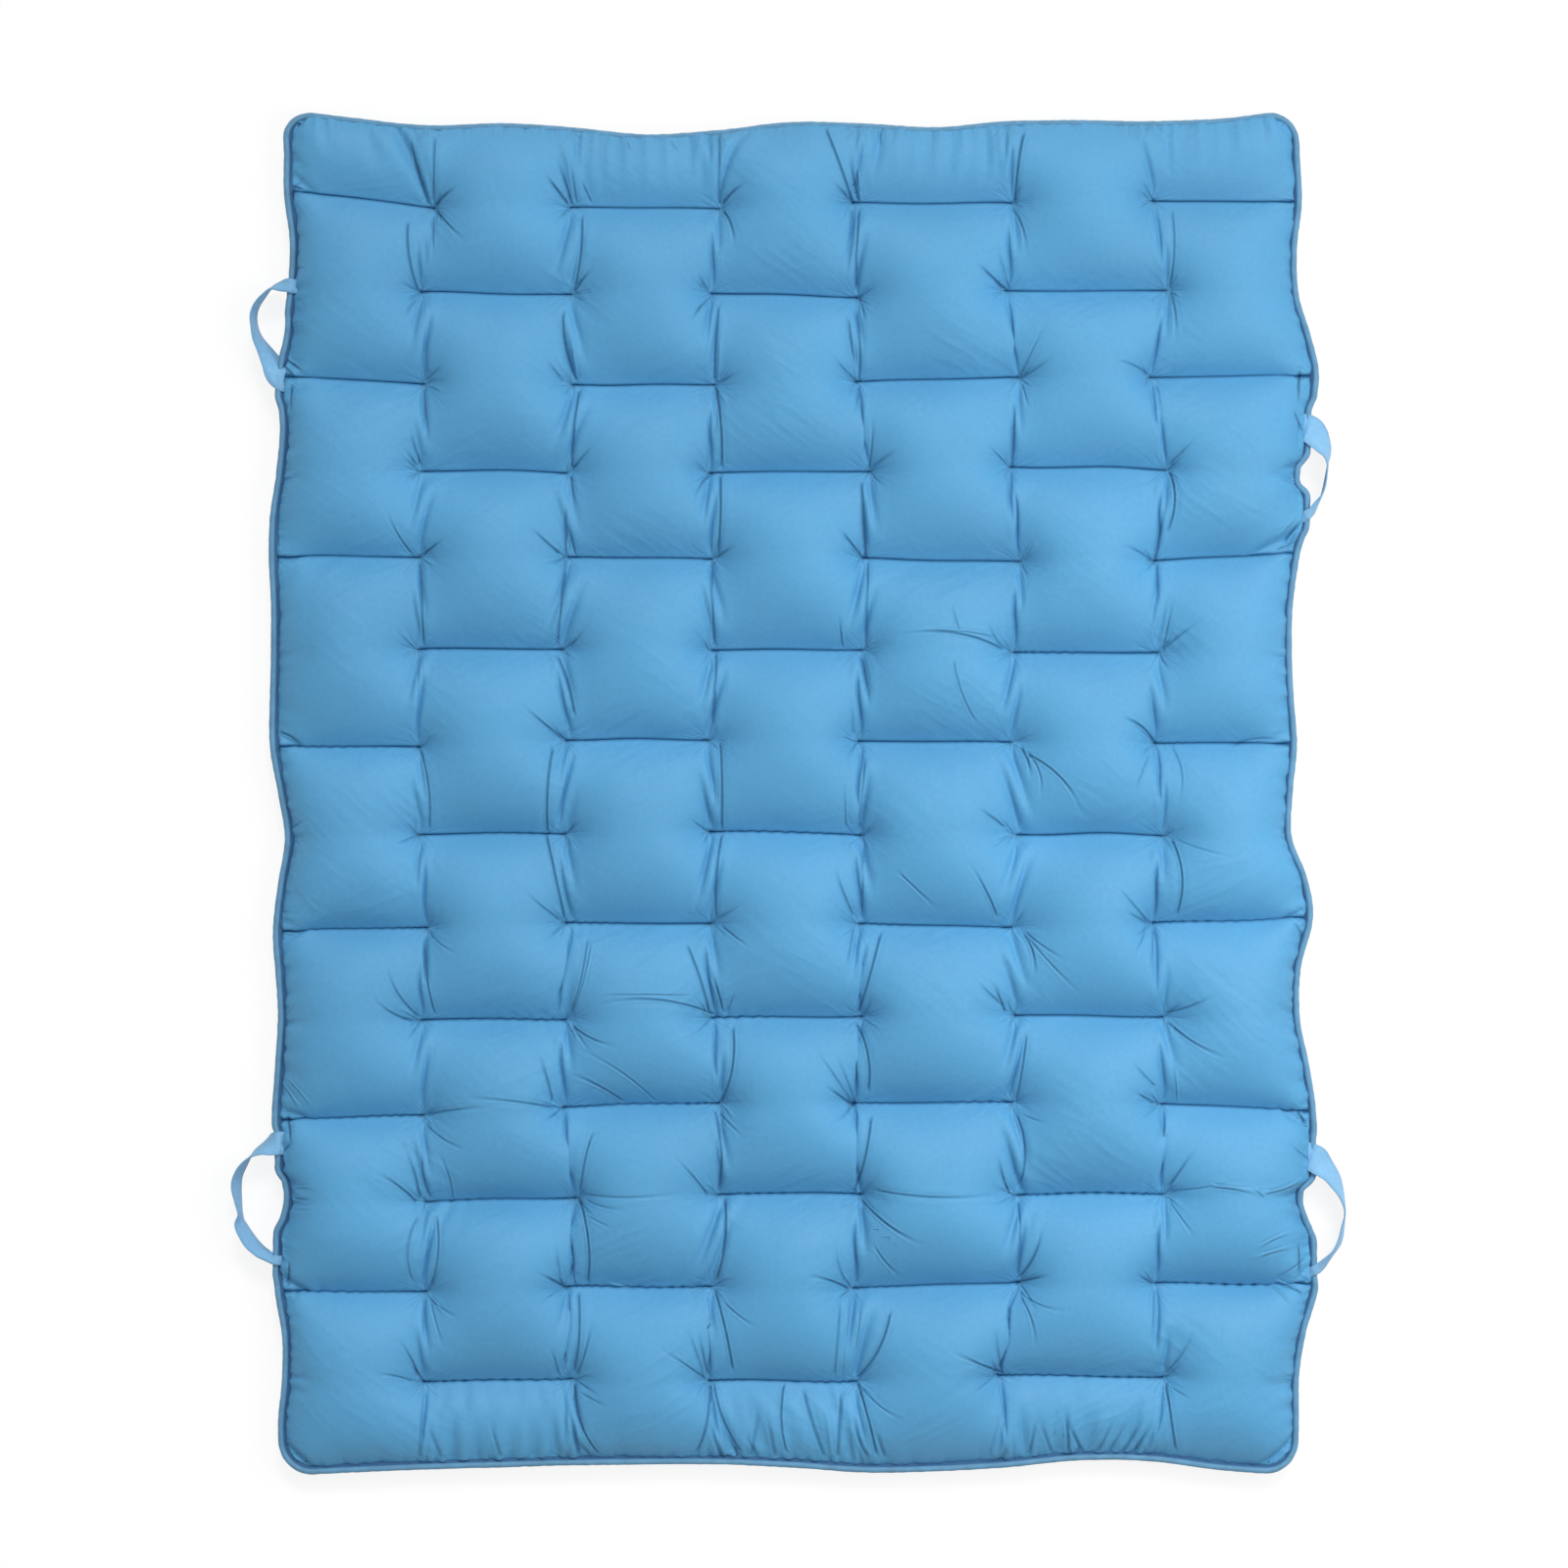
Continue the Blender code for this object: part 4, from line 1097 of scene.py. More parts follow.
    def rim(self, columns: int, rows: int) -> list[int]:
        """List the points round a grid's edge.

        Args:
            columns: Points across.
            rows: Points along.

        Returns:
            Their numbers, anticlockwise from above.
        """
        last_i, last_j = columns - 1, rows - 1
        places = [(i, 0) for i in range(last_i)] + [(last_i, j) for j in range(last_j)]
        places += [(i, last_j) for i in range(last_i, 0, -1)] + [(0, j) for j in range(last_j, 0, -1)]
        return [i * rows + j for i, j in places]

    def build(
        self, top: Array, under: Array, finishes: list[bpy.types.Material],
    ) -> bpy.types.Object:
        """Join the two covers round the edge into one closed body.

        Args:
            top: The top cover's points.
            under: The under cover's points, on a grid as fine or half as fine.
            finishes: The finish of the top cover and that of the under cover.

        Returns:
            The piece.
        """
        points = np.concatenate([top.reshape(-1, 3), under.reshape(-1, 3)])
        first = top.shape[0] * top.shape[1]
        faces = [*grid_faces(*top.shape[:2])]
        top_faces = len(faces)
        faces += [tuple(first + k for k in face[::-1]) for face in grid_faces(*under.shape[:2])]
        above = self.rim(*top.shape[:2])
        below = [first + k for k in self.rim(*under.shape[:2])]
        ratio = len(above) // len(below)
        band = []
        for k, low in enumerate(below):
            low_next = below[(k + 1) % len(below)]
            high = [above[(ratio * k + step) % len(above)] for step in range(ratio + 1)]
            if ratio == 1:
                band.append((low, low_next, high[1], high[0]))
            else:
                band += [(low, low_next, high[1]), (low_next, high[2], high[1]), (low, high[1], high[0])]
        faces += band
        plans = (self.even_grid(*self.plan.cell_steps(grid)) for grid in (top, under))
        flat = [np.stack(places, axis=-1).reshape(-1, 2) for places in plans]
        kinds = [0] * top_faces + [1] * (len(faces) - top_faces - len(band)) + [0] * len(band)
        carried = FoldLayers(self.folds).read(points[:, 0], points[:, 1])
        for values in carried.values():
            values[first:, 1] = 0
        return make_piece("quilted_body", points, faces, finishes, np.concatenate(flat), kinds, carried)


def grid_faces(columns: int, rows: int) -> list[tuple[int, int, int, int]]:
    """The faces between the points of a grid, facing up."""
    return [
        (i * rows + j, (i + 1) * rows + j, (i + 1) * rows + j + 1, i * rows + j + 1)
        for i in range(columns - 1) for j in range(rows - 1)
    ]


def add_object(name: str, data: bpy.types.ID) -> bpy.types.Object:
    """Put a mesh, a lamp or a camera into the scene as a new object."""
    thing = bpy.data.objects.new(name, data)
    bpy.context.scene.collection.objects.link(thing)
    return thing


def make_piece(
    name: str, points: Array, faces: list[tuple[int, ...]], finishes: list[bpy.types.Material],
    flat: Array, kinds: list[int] | None = None, carried: dict[str, Array] | None = None,
) -> bpy.types.Object:
    """Make a mesh piece with its finishes and its place on the flat cloth.

    Args:
        name: The piece's name.
        points: Its points.
        faces: Its faces.
        finishes: Its finishes.
        flat: Where each point lay on the flat cloth, in metres.
        kinds: The number of each face's finish.
        carried: Further values, three to a point, for the finishes to read by their names.

    Returns:
        The piece.
    """
    mesh = bpy.data.meshes.new(name)
    mesh.from_pydata(np.asarray(points, float).tolist(), [], faces)
    for finish in finishes:
        mesh.materials.append(finish)
    mesh.polygons.foreach_set("use_smooth", [True] * len(faces))
    if kinds is not None:
        mesh.polygons.foreach_set("material_index", kinds)
    corners = np.zeros(len(mesh.loops), np.int32)
    mesh.loops.foreach_get("vertex_index", corners)
    layer = mesh.uv_layers.new(name="cloth")
    layer.data.foreach_set("uv", np.asarray(flat, np.float32)[corners].ravel())
    for layer_name, values in (carried or {}).items():
        layer = mesh.attributes.new(layer_name, "FLOAT_VECTOR", "POINT")
        layer.data.foreach_set("vector", values.astype(np.float32).ravel())
    mesh.validate()
    return add_object(name, mesh)


@dataclass
class QuiltingThread:
    """The lockstitches along the seams of one cover."""

    plan: PadPlan
    stitch_length: float = 0.0027
    pitch: float = 0.0034
    radius: float = 0.00028
    sides: int = 5
    end_margin: float = 0.002
    tip_drop: float = -0.9
    shoulder_share: float = 0.72
    shoulder_size: float = 0.8
    shoulder_drop: float = -0.3
    middle_lift: float = 0.35

    def seam_lines(self, cover: Array) -> list[Array]:
        """Read where each seam runs on a cover.

        Args:
            cover: The cover's points.

        Returns:
            The points of each seam.
        """
        across, along = self.plan.cell_steps(cover)
        return [cover[column * across: (column + 1) * across + 1, j] for column, j in self.plan.seams(along)]

    def stitch(self) -> tuple[Array, list[tuple[int, ...]]]:
        """Shape one stitch, which is thickest in its middle and dips into the cloth at its tips.

        Returns:
            Its points, as shares of its half length and, beside and up, of its radius, and its faces.
        """
        turn = np.linspace(0, 2 * np.pi, self.sides, endpoint=False)
        tip = (1.0, 0.0, self.tip_drop)
        shoulder = (self.shoulder_share, self.shoulder_size, self.shoulder_drop)
        start = [(-share, size, lift) for share, size, lift in (tip, shoulder)]
        points = []
        for share, size, lift in (*start, (0.0, 1.0, self.middle_lift), shoulder, tip):
            angles = turn if size else turn[:1]
            points += [(share, size * math.cos(a), size * math.sin(a) + lift) for a in angles]
        n = self.sides
        faces = [(0, 1 + (k + 1) % n, 1 + k) for k in range(n)]
        for low in (1, 1 + n):
            faces += [(low + k, low + (k + 1) % n, low + n + (k + 1) % n, low + n + k) for k in range(n)]
        last = 1 + 3 * n
        faces += [(last, last - n + k, last - n + (k + 1) % n) for k in range(n)]
        return np.array(points), faces

    def build(
        self, name: str, cover: Array, face: Face, finish: bpy.types.Material,
    ) -> bpy.types.Object:
        """Sew along every seam of a cover.

        Args:
            name: The piece's name.
            cover: The cover's points.
            face: Which cover it is.
            finish: The thread's finish.

        Returns:
            The piece.
        """
        rings, pattern = self.stitch()
        order = pattern if face is Face.TOP else [corners[::-1] for corners in pattern]
        points, faces, flat = [], [], []
        for line in self.seam_lines(cover):
            run = run_along(line)
            count = max(2, round((run[-1] - self.end_margin) / self.pitch))
            for place in (np.arange(count) + 0.5) * run[-1] / count:
                ends = [place - self.stitch_length / 2, place + self.stitch_length / 2]
                a, b = (np.array([np.interp(at, run, line[:, k]) for k in range(3)]) for at in ends)
                middle, half = (a + b) / 2, (b - a) / 2
                ahead = half / np.linalg.norm(half)
                beside = np.array([-ahead[1], ahead[0], 0.0])
                start = len(points) * len(rings)
                points.append(
                    middle + rings[:, :1] * half + rings[:, 1:2] * self.radius * beside
                    + rings[:, 2:] * self.radius * np.array([0, 0, face.value])
                )
                faces += [tuple(start + k for k in corners) for corners in order]
                thread_run = place + rings[:, 0] * self.stitch_length / 2
                flat.append(np.stack([thread_run, rings[:, 1] * self.radius], axis=-1))
        return make_piece(name, np.concatenate(points), faces, [finish], np.concatenate(flat))


@dataclass
class Piping:
    """The corded bead round the edge, with the flange that it is sewn in by."""

    plan: PadPlan
    step: float = 0.0016
    sides: int = 14
    flange_width: float = 0.009
    flange_half: float = 0.0004
    flange_places: tuple[float, float] = (0.020, 0.021)
    corner_steps: int = 16
    unevenness: float = 0.07
    pucker_size: float = 0.011
    pucker_seed: int = 21
    pucker_slant: float = 0.0022
    pucker_share: float = 0.6
    swell_size: float = 0.05
    swell_seed: int = 22
    swell_share: float = 0.5

    def edge_path(self) -> Array:
        """The middle of the bead all round the pad, anticlockwise and evenly spaced."""
        plan = self.plan
        radius = plan.corner_radius
        flat_x, flat_y = plan.half_width - radius, plan.half_length - radius
        corners = [(flat_x, flat_y), (-flat_x, flat_y), (-flat_x, -flat_y), (flat_x, -flat_y)]
        places = []
        for quarter, (cx, cy) in enumerate(corners):
            for angle in np.linspace(0, math.pi / 2, self.corner_steps) + quarter * math.pi / 2:
                places.append((cx + radius * math.cos(angle), cy + radius * math.sin(angle)))
        places.append(places[0])
        places = even_steps(np.array(places), self.step)
        x, y = plan.settled(places[:, 0], places[:, 1])
        return even_steps(np.stack([x, y], axis=-1), self.step)[:-1]

    def build(self, finish: bpy.types.Material) -> bpy.types.Object:
        """Sweep the piping's section round the edge.

        Args:
            finish: The piping's finish.

        Returns:
            The piece.
        """
        plan = self.plan
        path = self.edge_path()
        ahead = np.roll(path, -1, axis=0) - np.roll(path, 1, axis=0)
        ahead /= np.linalg.norm(ahead, axis=1, keepdims=True)
        outward = np.stack([ahead[:, 1], -ahead[:, 0]], axis=-1)
        opening = math.asin(self.flange_half / plan.bead_radius)
        angles = np.linspace(opening - math.pi, math.pi - opening, self.sides)
        count = len(path)
        run = np.arange(count) * self.step
        rings = []
        for angle in angles:
            height, slanted = run * 0 + math.cos(angle), run + angle * self.pucker_slant
            pull = drift(height, slanted, self.pucker_size, self.pucker_seed) * self.pucker_share
            pull += drift(run, run * 0 + angle, self.swell_size, self.swell_seed) * self.swell_share
            radius = plan.bead_radius * (1 + self.unevenness * pull * (1 + math.cos(angle)) / 2)
            rings.append((radius * math.cos(angle), radius * math.sin(angle)))
        edge = np.full(count, -self.flange_width)
        rings += [(edge, np.full(count, self.flange_half)), (edge, np.full(count, -self.flange_half))]
        size = len(rings)
        out = np.stack([ring[0] for ring in rings], axis=1)
        up = np.stack([ring[1] for ring in rings], axis=1)
        points = np.empty((count, size, 3))
        points[..., :2] = path[:, None, :] + outward[:, None, :] * out[..., None]
        points[..., 2] = plan.seam_height + up
        faces = []
        for k in range(count):
            after = (k + 1) % count
            for i in range(size):
                j = (i + 1) % size
                faces.append((k * size + i, after * size + i, after * size + j, k * size + j))
        around = np.concatenate([angles * plan.bead_radius, self.flange_places])
        flat = np.stack(np.broadcast_arrays(run[:, None], around[None, :]), axis=-1).reshape(-1, 2)
        return make_piece("piping", points.reshape(-1, 3), faces, [finish], flat)


def run_along(line: Array) -> Array:
    """How far along a line each of its points lies."""
    return np.concatenate([[0], np.cumsum(np.linalg.norm(np.diff(line, axis=0), axis=1))])


def even_steps(line: Array, step: float) -> Array:
    """Space the points of a line evenly.

    Args:
        line: Its points.
        step: About how far apart they are to be.

    Returns:
        The new points, with both ends kept.
    """
    run = run_along(line)
    places = np.linspace(0, run[-1], max(2, round(run[-1] / step)) + 1)
    return np.stack([np.interp(places, run, line[:, k]) for k in range(line.shape[1])], axis=-1)


@dataclass
class GrabLoop:
    """One webbing loop with its two sewn-in ends, in one length of strap."""

    plan: PadPlan
    loop: LoopPlan
    thickness: float = 0.0015
    steps: int = 110
    cup: float = 0.0003
    most_layers: float = 1.5
    blend_from: float = 0.0003
    blend_to: float = 0.0045

    def __post_init__(self) -> None:
        """Find the hinge line and the loop's own directions."""
        plan, loop = self.plan, self.loop
        roots = []
        for row, share in zip(loop.rows, loop.edge_shares):
            x = loop.side.value * (plan.half_width + plan.edge_wave * share)
            roots.append(Vector((x, plan.row_y(row), plan.seam_height)))
        self.middle = (roots[0] + roots[1]) / 2
        self.along = (roots[0] - roots[1]).normalized()
        self.out = Vector((self.along.y, -self.along.x, 0)) * loop.side.value

    def section(self) -> Array:
        """The strap's section, as shares of its half width and half thickness, with rounded edges."""
        right = [(0.5, 1.0), (0.94, 0.95), (0.985, 0.6)]
        upper = [*((-x, z) for x, z in right[::-1]), (0.0, 1.0), *right]
        lower = [(x, -z) for x, z in upper[::-1]]
        return np.array([(-1.0, 0.0), *upper, (1.0, 0.0), *lower])

    def build(self, finish: bpy.types.Material) -> bpy.types.Object:
        """Sweep the strap through its stations.

        Args:
            finish: The webbing's finish.

        Returns:
            The piece.
        """
        stations = np.array([
            (s.out / 1000, s.along / 1000, s.up / 1000, math.radians(s.turn), s.width / 1000)
            for s in self.loop.stations
        ])
        run = run_along(stations[:, :3])
        places = np.interp(np.linspace(0, run[-1], self.steps + 1), run, np.arange(len(stations)))
        values = np.stack([smooth_through(stations[:, k], places) for k in range(5)], axis=-1)
        out, along, up = np.array(self.out), np.array(self.along), np.array([0.0, 0.0, 1.0])
        centre = np.array(self.middle) + values[:, :1] * out + values[:, 1:2] * along + values[:, 2:3] * up
        ahead = np.gradient(centre, axis=0)
        ahead /= np.linalg.norm(ahead, axis=1, keepdims=True)
        beside = np.cross(ahead, up) * -self.loop.side.value
        beside /= np.linalg.norm(beside, axis=1, keepdims=True)
        level = np.cross(beside, ahead)
        level *= np.sign(level[:, 2:3] + NEAR_ZERO)
        turn, width = values[:, 3:4], values[:, 4:5]
        across = beside * np.cos(turn) + level * np.sin(turn)
        face = np.cross(ahead, across)
        face /= np.linalg.norm(face, axis=1, keepdims=True)
        layers = np.clip(self.plan.strap_width / width, 1, self.most_layers)
        section = self.section()
        beside_middle = section[:, 0] * width / 2
        above_middle = section[:, 1] * self.thickness / 2 * layers + self.cup * (1 - section[:, 0] ** 2)
        points = (
            centre[:, None, :] + across[:, None, :] * beside_middle[..., None]
            + face[:, None, :] * above_middle[..., None]
        )
        count, size = points.shape[:2]
        faces = []
        for k in range(count - 1):
            for i in range(size):
                j = (i + 1) % size
                faces.append((k * size + i, k * size + j, (k + 1) * size + j, (k + 1) * size + i))
        last = (count - 1) * size
        faces += [tuple(range(size))[::-1], tuple(last + i for i in range(size))]
        length = run_along(centre)
        flat_across = section[None, :, 0] * self.plan.strap_width / 2
        flat = np.stack(np.broadcast_arrays(flat_across, length[:, None]), axis=-1).reshape(-1, 2)
        piece = make_piece(f"grab_loop_{self.loop.name}", points.reshape(-1, 3), faces, [finish], flat)
        tidy = bmesh.new()
        tidy.from_mesh(piece.data)
        bmesh.ops.recalc_face_normals(tidy, faces=tidy.faces)
        tidy.to_mesh(piece.data)
        tidy.free()
        return piece

    def hang(self, piece: bpy.types.Object) -> None:
        """Bake the loop's place into its mesh and hide the model's own handle and strap ends."""
        name = self.loop.name
        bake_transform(piece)
        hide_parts(f"handle_{name}", f"strap_end_{name}_upper", f"strap_end_{name}_lower")


class NodeBench:
    """A new material with a fabric shader, and short ways to add nodes to it.

    Its place is the place on the flat cloth in metres, and first and second are the two parts of that.
    """

    def __init__(self, name: str) -> None:
        """Start the material.

        Args:
            name: The material's name.
        """
        self.material = bpy.data.materials.new(name)
        self.material.use_nodes = True
        self.tree = self.material.node_tree
        self.tree.nodes.clear()
        self.shader = self.add("ShaderNodeBsdfPrincipled")
        self.add("ShaderNodeOutputMaterial", {"Surface": self.shader.outputs[0]})
        self.place = self.add("ShaderNodeUVMap", uv_map="cloth").outputs[0]
        self.first, self.second = self.add("ShaderNodeSeparateXYZ", {0: self.place}).outputs[:2]

    def add(self, kind: str, inputs: dict | None = None, **settings: object) -> bpy.types.Node:
        """Add a node.

        Args:
            kind: Blender's name of it.
            inputs: What goes into its sockets, by name or number: a value or another node's socket.
            settings: Its other settings.

        Returns:
            The node.
        """
        node = self.tree.nodes.new(kind)
        for key, value in settings.items():
            setattr(node, key, value)
        for key, value in (inputs or {}).items():
            if isinstance(value, Socket):
                self.tree.links.new(value, node.inputs[key])
            else:
                node.inputs[key].default_value = value
        return node

    def sum(self, kind: str, *values: object) -> Socket:
        """The result of a Math node of one kind on these values or sockets."""
        return self.add("ShaderNodeMath", dict(enumerate(values)), operation=kind).outputs[0]

    def times(self, first: object, second: object) -> Socket:
        """One value or socket times another."""
        return self.sum("MULTIPLY", first, second)

    def plus(self, first: object, second: object) -> Socket:
        """One value or socket plus another."""
        return self.sum("ADD", first, second)

    def scaled(self, value: Socket, factor: float, more: object) -> Socket:
        """A value times a factor, and then more added to it."""
        return self.sum("MULTIPLY_ADD", value, factor, more)

    def bell(self, value: Socket, steepness: float = 1.0) -> Socket:
        """1 where a value is 0, and less and less to both sides of that."""
        return self.sum("EXPONENT", self.times(self.times(value, value), -steepness))

    def vector(self, *parts: object) -> Socket:
        """A vector with these parts."""
        return self.add("ShaderNodeCombineXYZ", dict(enumerate(parts))).outputs[0]

    def vector_sum(self, kind: str, *vectors: object) -> Socket:
        """The result of a Vector Math node of one kind on these vectors or sockets."""
        return self.add("ShaderNodeVectorMath", dict(enumerate(vectors)), operation=kind).outputs[0]

    def noise(self, where: Socket, scale: float, detail: float) -> Socket:
        """A noise that takes this many turns to the metre."""
        return self.add("ShaderNodeTexNoise", {"Vector": where, "Scale": scale, "Detail": detail}).outputs[0]

    def ridges(self, where: Socket, scale: float) -> Socket:
        """A field that is 0 along winding lines, and up to 1 between them."""
        return self.sum("ABSOLUTE", self.scaled(self.noise(where, scale, 1.0), 2.0, -1.0))

    def feed(self, value: Socket, name: str) -> None:
        """Lead a value to the shader's socket of this name."""
        self.tree.links.new(value, self.shader.inputs[name])

    def ripple(self, run: Socket, pitch: float) -> Socket:
        """A sine wave along a length, one turn to each pitch."""
        return self.sum("SINE", self.times(run, 2 * math.pi / pitch))

    def tones(self, share: Socket, stops: list[tuple[float, tuple]]) -> Socket:
        """Turn a share from 0 to 1 into a colour.

        Args:
            share: The share.
            stops: Shares with their colours.

        Returns:
            The colour.
        """
        node = self.add("ShaderNodeValToRGB", {0: share})
        ramp = node.color_ramp
        while len(ramp.elements) < len(stops):
            ramp.elements.new(0.5)
        for element, (place, colour) in zip(ramp.elements, stops):
            element.position = place
            element.color = (*colour, 1)
        return node.outputs[0]

    def mix(self, share: Socket, first: object, second: object) -> Socket:
        """Mix two colours, each a socket or three numbers.

        Args:
            share: How much of the second there is.
            first: The first colour.
            second: The second colour.

        Returns:
            The mixed colour.
        """
        node = self.add("ShaderNodeMix", {0: share}, data_type="RGBA")
        for number, value in ((6, first), (7, second)):
            if isinstance(value, Socket):
                self.tree.links.new(value, node.inputs[number])
            else:
                node.inputs[number].default_value = (*value, 1.0)
        return node.outputs[2]

    def clamp(self, value: Socket) -> Socket:
        """Keep a value between 0 and 1."""
        return self.sum("MINIMUM", self.sum("MAXIMUM", value, 0.0), 1.0)

    def emboss(self, *layers: tuple[Socket, float, float]) -> None:
        """Raise the surface by layers of height, each with its depth in metres and its strength."""
        under = None
        for height, depth, strength in layers:
            inputs = {"Height": height, "Distance": depth, "Strength": strength}
            if under is not None:
                inputs["Normal"] = under
            under = self.add("ShaderNodeBump", inputs).outputs[0]
        self.feed(under, "Normal")

    def set(self, **values: object) -> None:
        """Set the shader's own sockets. Underscores stand for the spaces in their names."""
        for key, value in values.items():
            self.shader.inputs[key.replace("_", " ")].default_value = value


def shades(colour: tuple[float, float, float], spread: float) -> list[tuple[float, tuple]]:
    """A darker, a plain and a lighter tone of a colour, as stops for NodeBench.tones."""
    darker, lighter = (tuple(min(c * (1 + change), 1) for c in colour) for change in (-spread, spread))
    return [(0.25, darker), (0.5, colour), (0.75, lighter)]


@dataclass(frozen=True)
class MicrofibreFinish:
    """Satin microfibre: fine plain weave, soft sheen, slight puckers, and painted shade in creases and by
    seams.
    """

    name: str
    colour: tuple[float, float, float]
    roughness: float = 0.62
    thread_pitch: float = 0.0004
    weave_depth: float = 0.00003
    pucker_depth: float = 0.0003
    fold_layers: int = 0
    # The deep blue of the painted shade in the creases and beside the seams.
    painted_shade_colour: tuple[float, float, float] = (0.002, 0.060, 0.185)
    crease_hollow: float = 0.28
    foot_place: float = 1.9
    foot_steepness: float = 1.6
    crease_strength: float = 0.9
    crease_depth: float = 0.95
    crease_shade: float = 0.52
    seam_shade_width: float = 0.0023
    seam_shade_share: float = 1.0
    gather_depth: float = 0.0006
    gather_reach: float = 0.022
    gather_start: float = 0.004
    gather_change: tuple[float, float, float] = (5.3, 4.1, 9.0)
    gather_scale: float = 2.4
    gather_sharpness: float = 14.0
    edge_depth: float = 0.0026
    edge_scale: float = 130
    edge_length_share: float = 0.12
    edge_patches: tuple[float, float, float, float] = (14, 4.0, -1.4, 0.15)
    pucker_reach: float = 0.011
    wrinkle_depth: float = 0.0022
    wrinkle_scale: float = 62
    wrinkle_length_share: float = 0.25
    wrinkle_slants: tuple[tuple[float, float], ...] = ((0.65, 3.0), (-0.5, 11.0))
    wrinkle_patches: tuple[float, float, float] = (8.5, 6.0, -2.9)
    tone_spread: float = 0.10
    gloss_spread: float = 0.12
    sheen: float = 0.2
    plan: PadPlan = PadPlan()

    def grid_place(self, bench: NodeBench) -> tuple[Socket, Socket]:
        """Count the place in columns from the left and in rows from the rear.

        Args:
            bench: The material's bench.

        Returns:
            The two counts.
        """
        plan = self.plan
        column = bench.scaled(bench.first, 1 / plan.column_width, plan.half_width / plan.column_width)
        return column, bench.scaled(bench.second, -1 / plan.row_length, plan.half_length / plan.row_length)

    def seam_end_gathers(self, bench: NodeBench) -> Socket:
        """Fine creases that run out from each seam end.

        Args:
            bench: The material's bench.

        Returns:
            Their height, from -1 to 0.
        """
        column, row = self.grid_place(bench)
        line, level = bench.sum("ROUND", column), bench.sum("ROUND", row)
        beside = bench.times(bench.sum("SUBTRACT", column, line), self.plan.column_width)
        above = bench.times(bench.sum("SUBTRACT", row, level), self.plan.row_length)
        offset = bench.vector(beside, above)
        far = bench.add("ShaderNodeVectorMath", {0: offset}, operation="LENGTH").outputs["Value"]
        heading = bench.vector_sum("NORMALIZE", offset)
        which = bench.vector(*(bench.times(*pair) for pair in zip((line, level, far), self.gather_change)))
        ridged = bench.ridges(bench.vector_sum("ADD", heading, which), self.gather_scale)
        crease = bench.sum("EXPONENT", bench.times(ridged, -self.gather_sharpness))
        fall = bench.bell(bench.times(far, 1 / self.gather_reach))
        start = bench.sum("MINIMUM", bench.times(far, 1 / self.gather_start), 1.0)
        return bench.times(bench.times(crease, -1.0), bench.times(fall, start))

    def edge_puckers(self, bench: NodeBench) -> Socket:
        """Small puckers where the piping gathers the cover.

        Args:
            bench: The material's bench.

        Returns:
            Their height, from about -1 to 1.
        """
        across, along, plan = bench.first, bench.second, self.plan
        scale, contrast, more, least = self.edge_patches
        heights = []
        for near, run, half in ((across, along, plan.half_width), (along, across, plan.half_length)):
            inward = bench.sum("SUBTRACT", half, bench.sum("ABSOLUTE", near))
            where = bench.vector(run, bench.times(inward, self.edge_length_share), bench.sum("SIGN", near))
            pucker = bench.scaled(bench.noise(where, self.edge_scale, 1.5), 2.0, -1.0)
            fall = bench.bell(bench.times(inward, 1 / self.pucker_reach))
            patches = bench.scaled(bench.noise(where, scale, 1.0), contrast, more)
            patches = bench.sum("MINIMUM", bench.sum("MAXIMUM", patches, least), 1.0)
            heights.append(bench.times(bench.times(pucker, fall), patches))
        return bench.plus(*heights)

    def loose_wrinkles(self, bench: NodeBench) -> Socket:
        """Soft slanting wrinkles, in the patches where the cloth lies loose.

        Args:
            bench: The material's bench.

        Returns:
            Their height, from 0 to 1.
        """
        scale, contrast, more = self.wrinkle_patches
        longer = (self.wrinkle_length_share, 1.0, 1.0)
        heights = []
        for slant, patch in self.wrinkle_slants:
            angles = (0.0, 0.0, slant)
            turned = bench.add("ShaderNodeMapping", {"Vector": bench.place, "Rotation": angles}).outputs[0]
            ridged = bench.ridges(bench.vector_sum("MULTIPLY", turned, longer), self.wrinkle_scale)
            shifted = bench.vector_sum("ADD", bench.place, (patch, 0.0, 0.0))
            loose = bench.clamp(bench.scaled(bench.noise(shifted, scale, 1.0), contrast, more))
            heights.append(bench.times(bench.sum("SUBTRACT", 1.0, ridged), loose))
        return bench.plus(*heights)

    def seam_shade(self, bench: NodeBench) -> Socket:
        """How deep in shade the cloth lies right beside the seams.

        Args:
            bench: The material's bench.

        Returns:
            The shade, from 0 to 1.
        """
        plan = self.plan
        column, row = self.grid_place(bench)
        level = bench.sum("ROUND", row)
        sewn = bench.sum("FLOORED_MODULO", bench.plus(bench.sum("FLOOR", column), level), 2.0)
        inside = plan.half_length - plan.row_length / 2
        inside = bench.sum("LESS_THAN", bench.sum("ABSOLUTE", bench.second), inside)
        off = bench.times(bench.sum("SUBTRACT", row, level), plan.row_length / self.seam_shade_width)
        near = bench.bell(off)
        return bench.times(bench.times(sewn, inside), near)

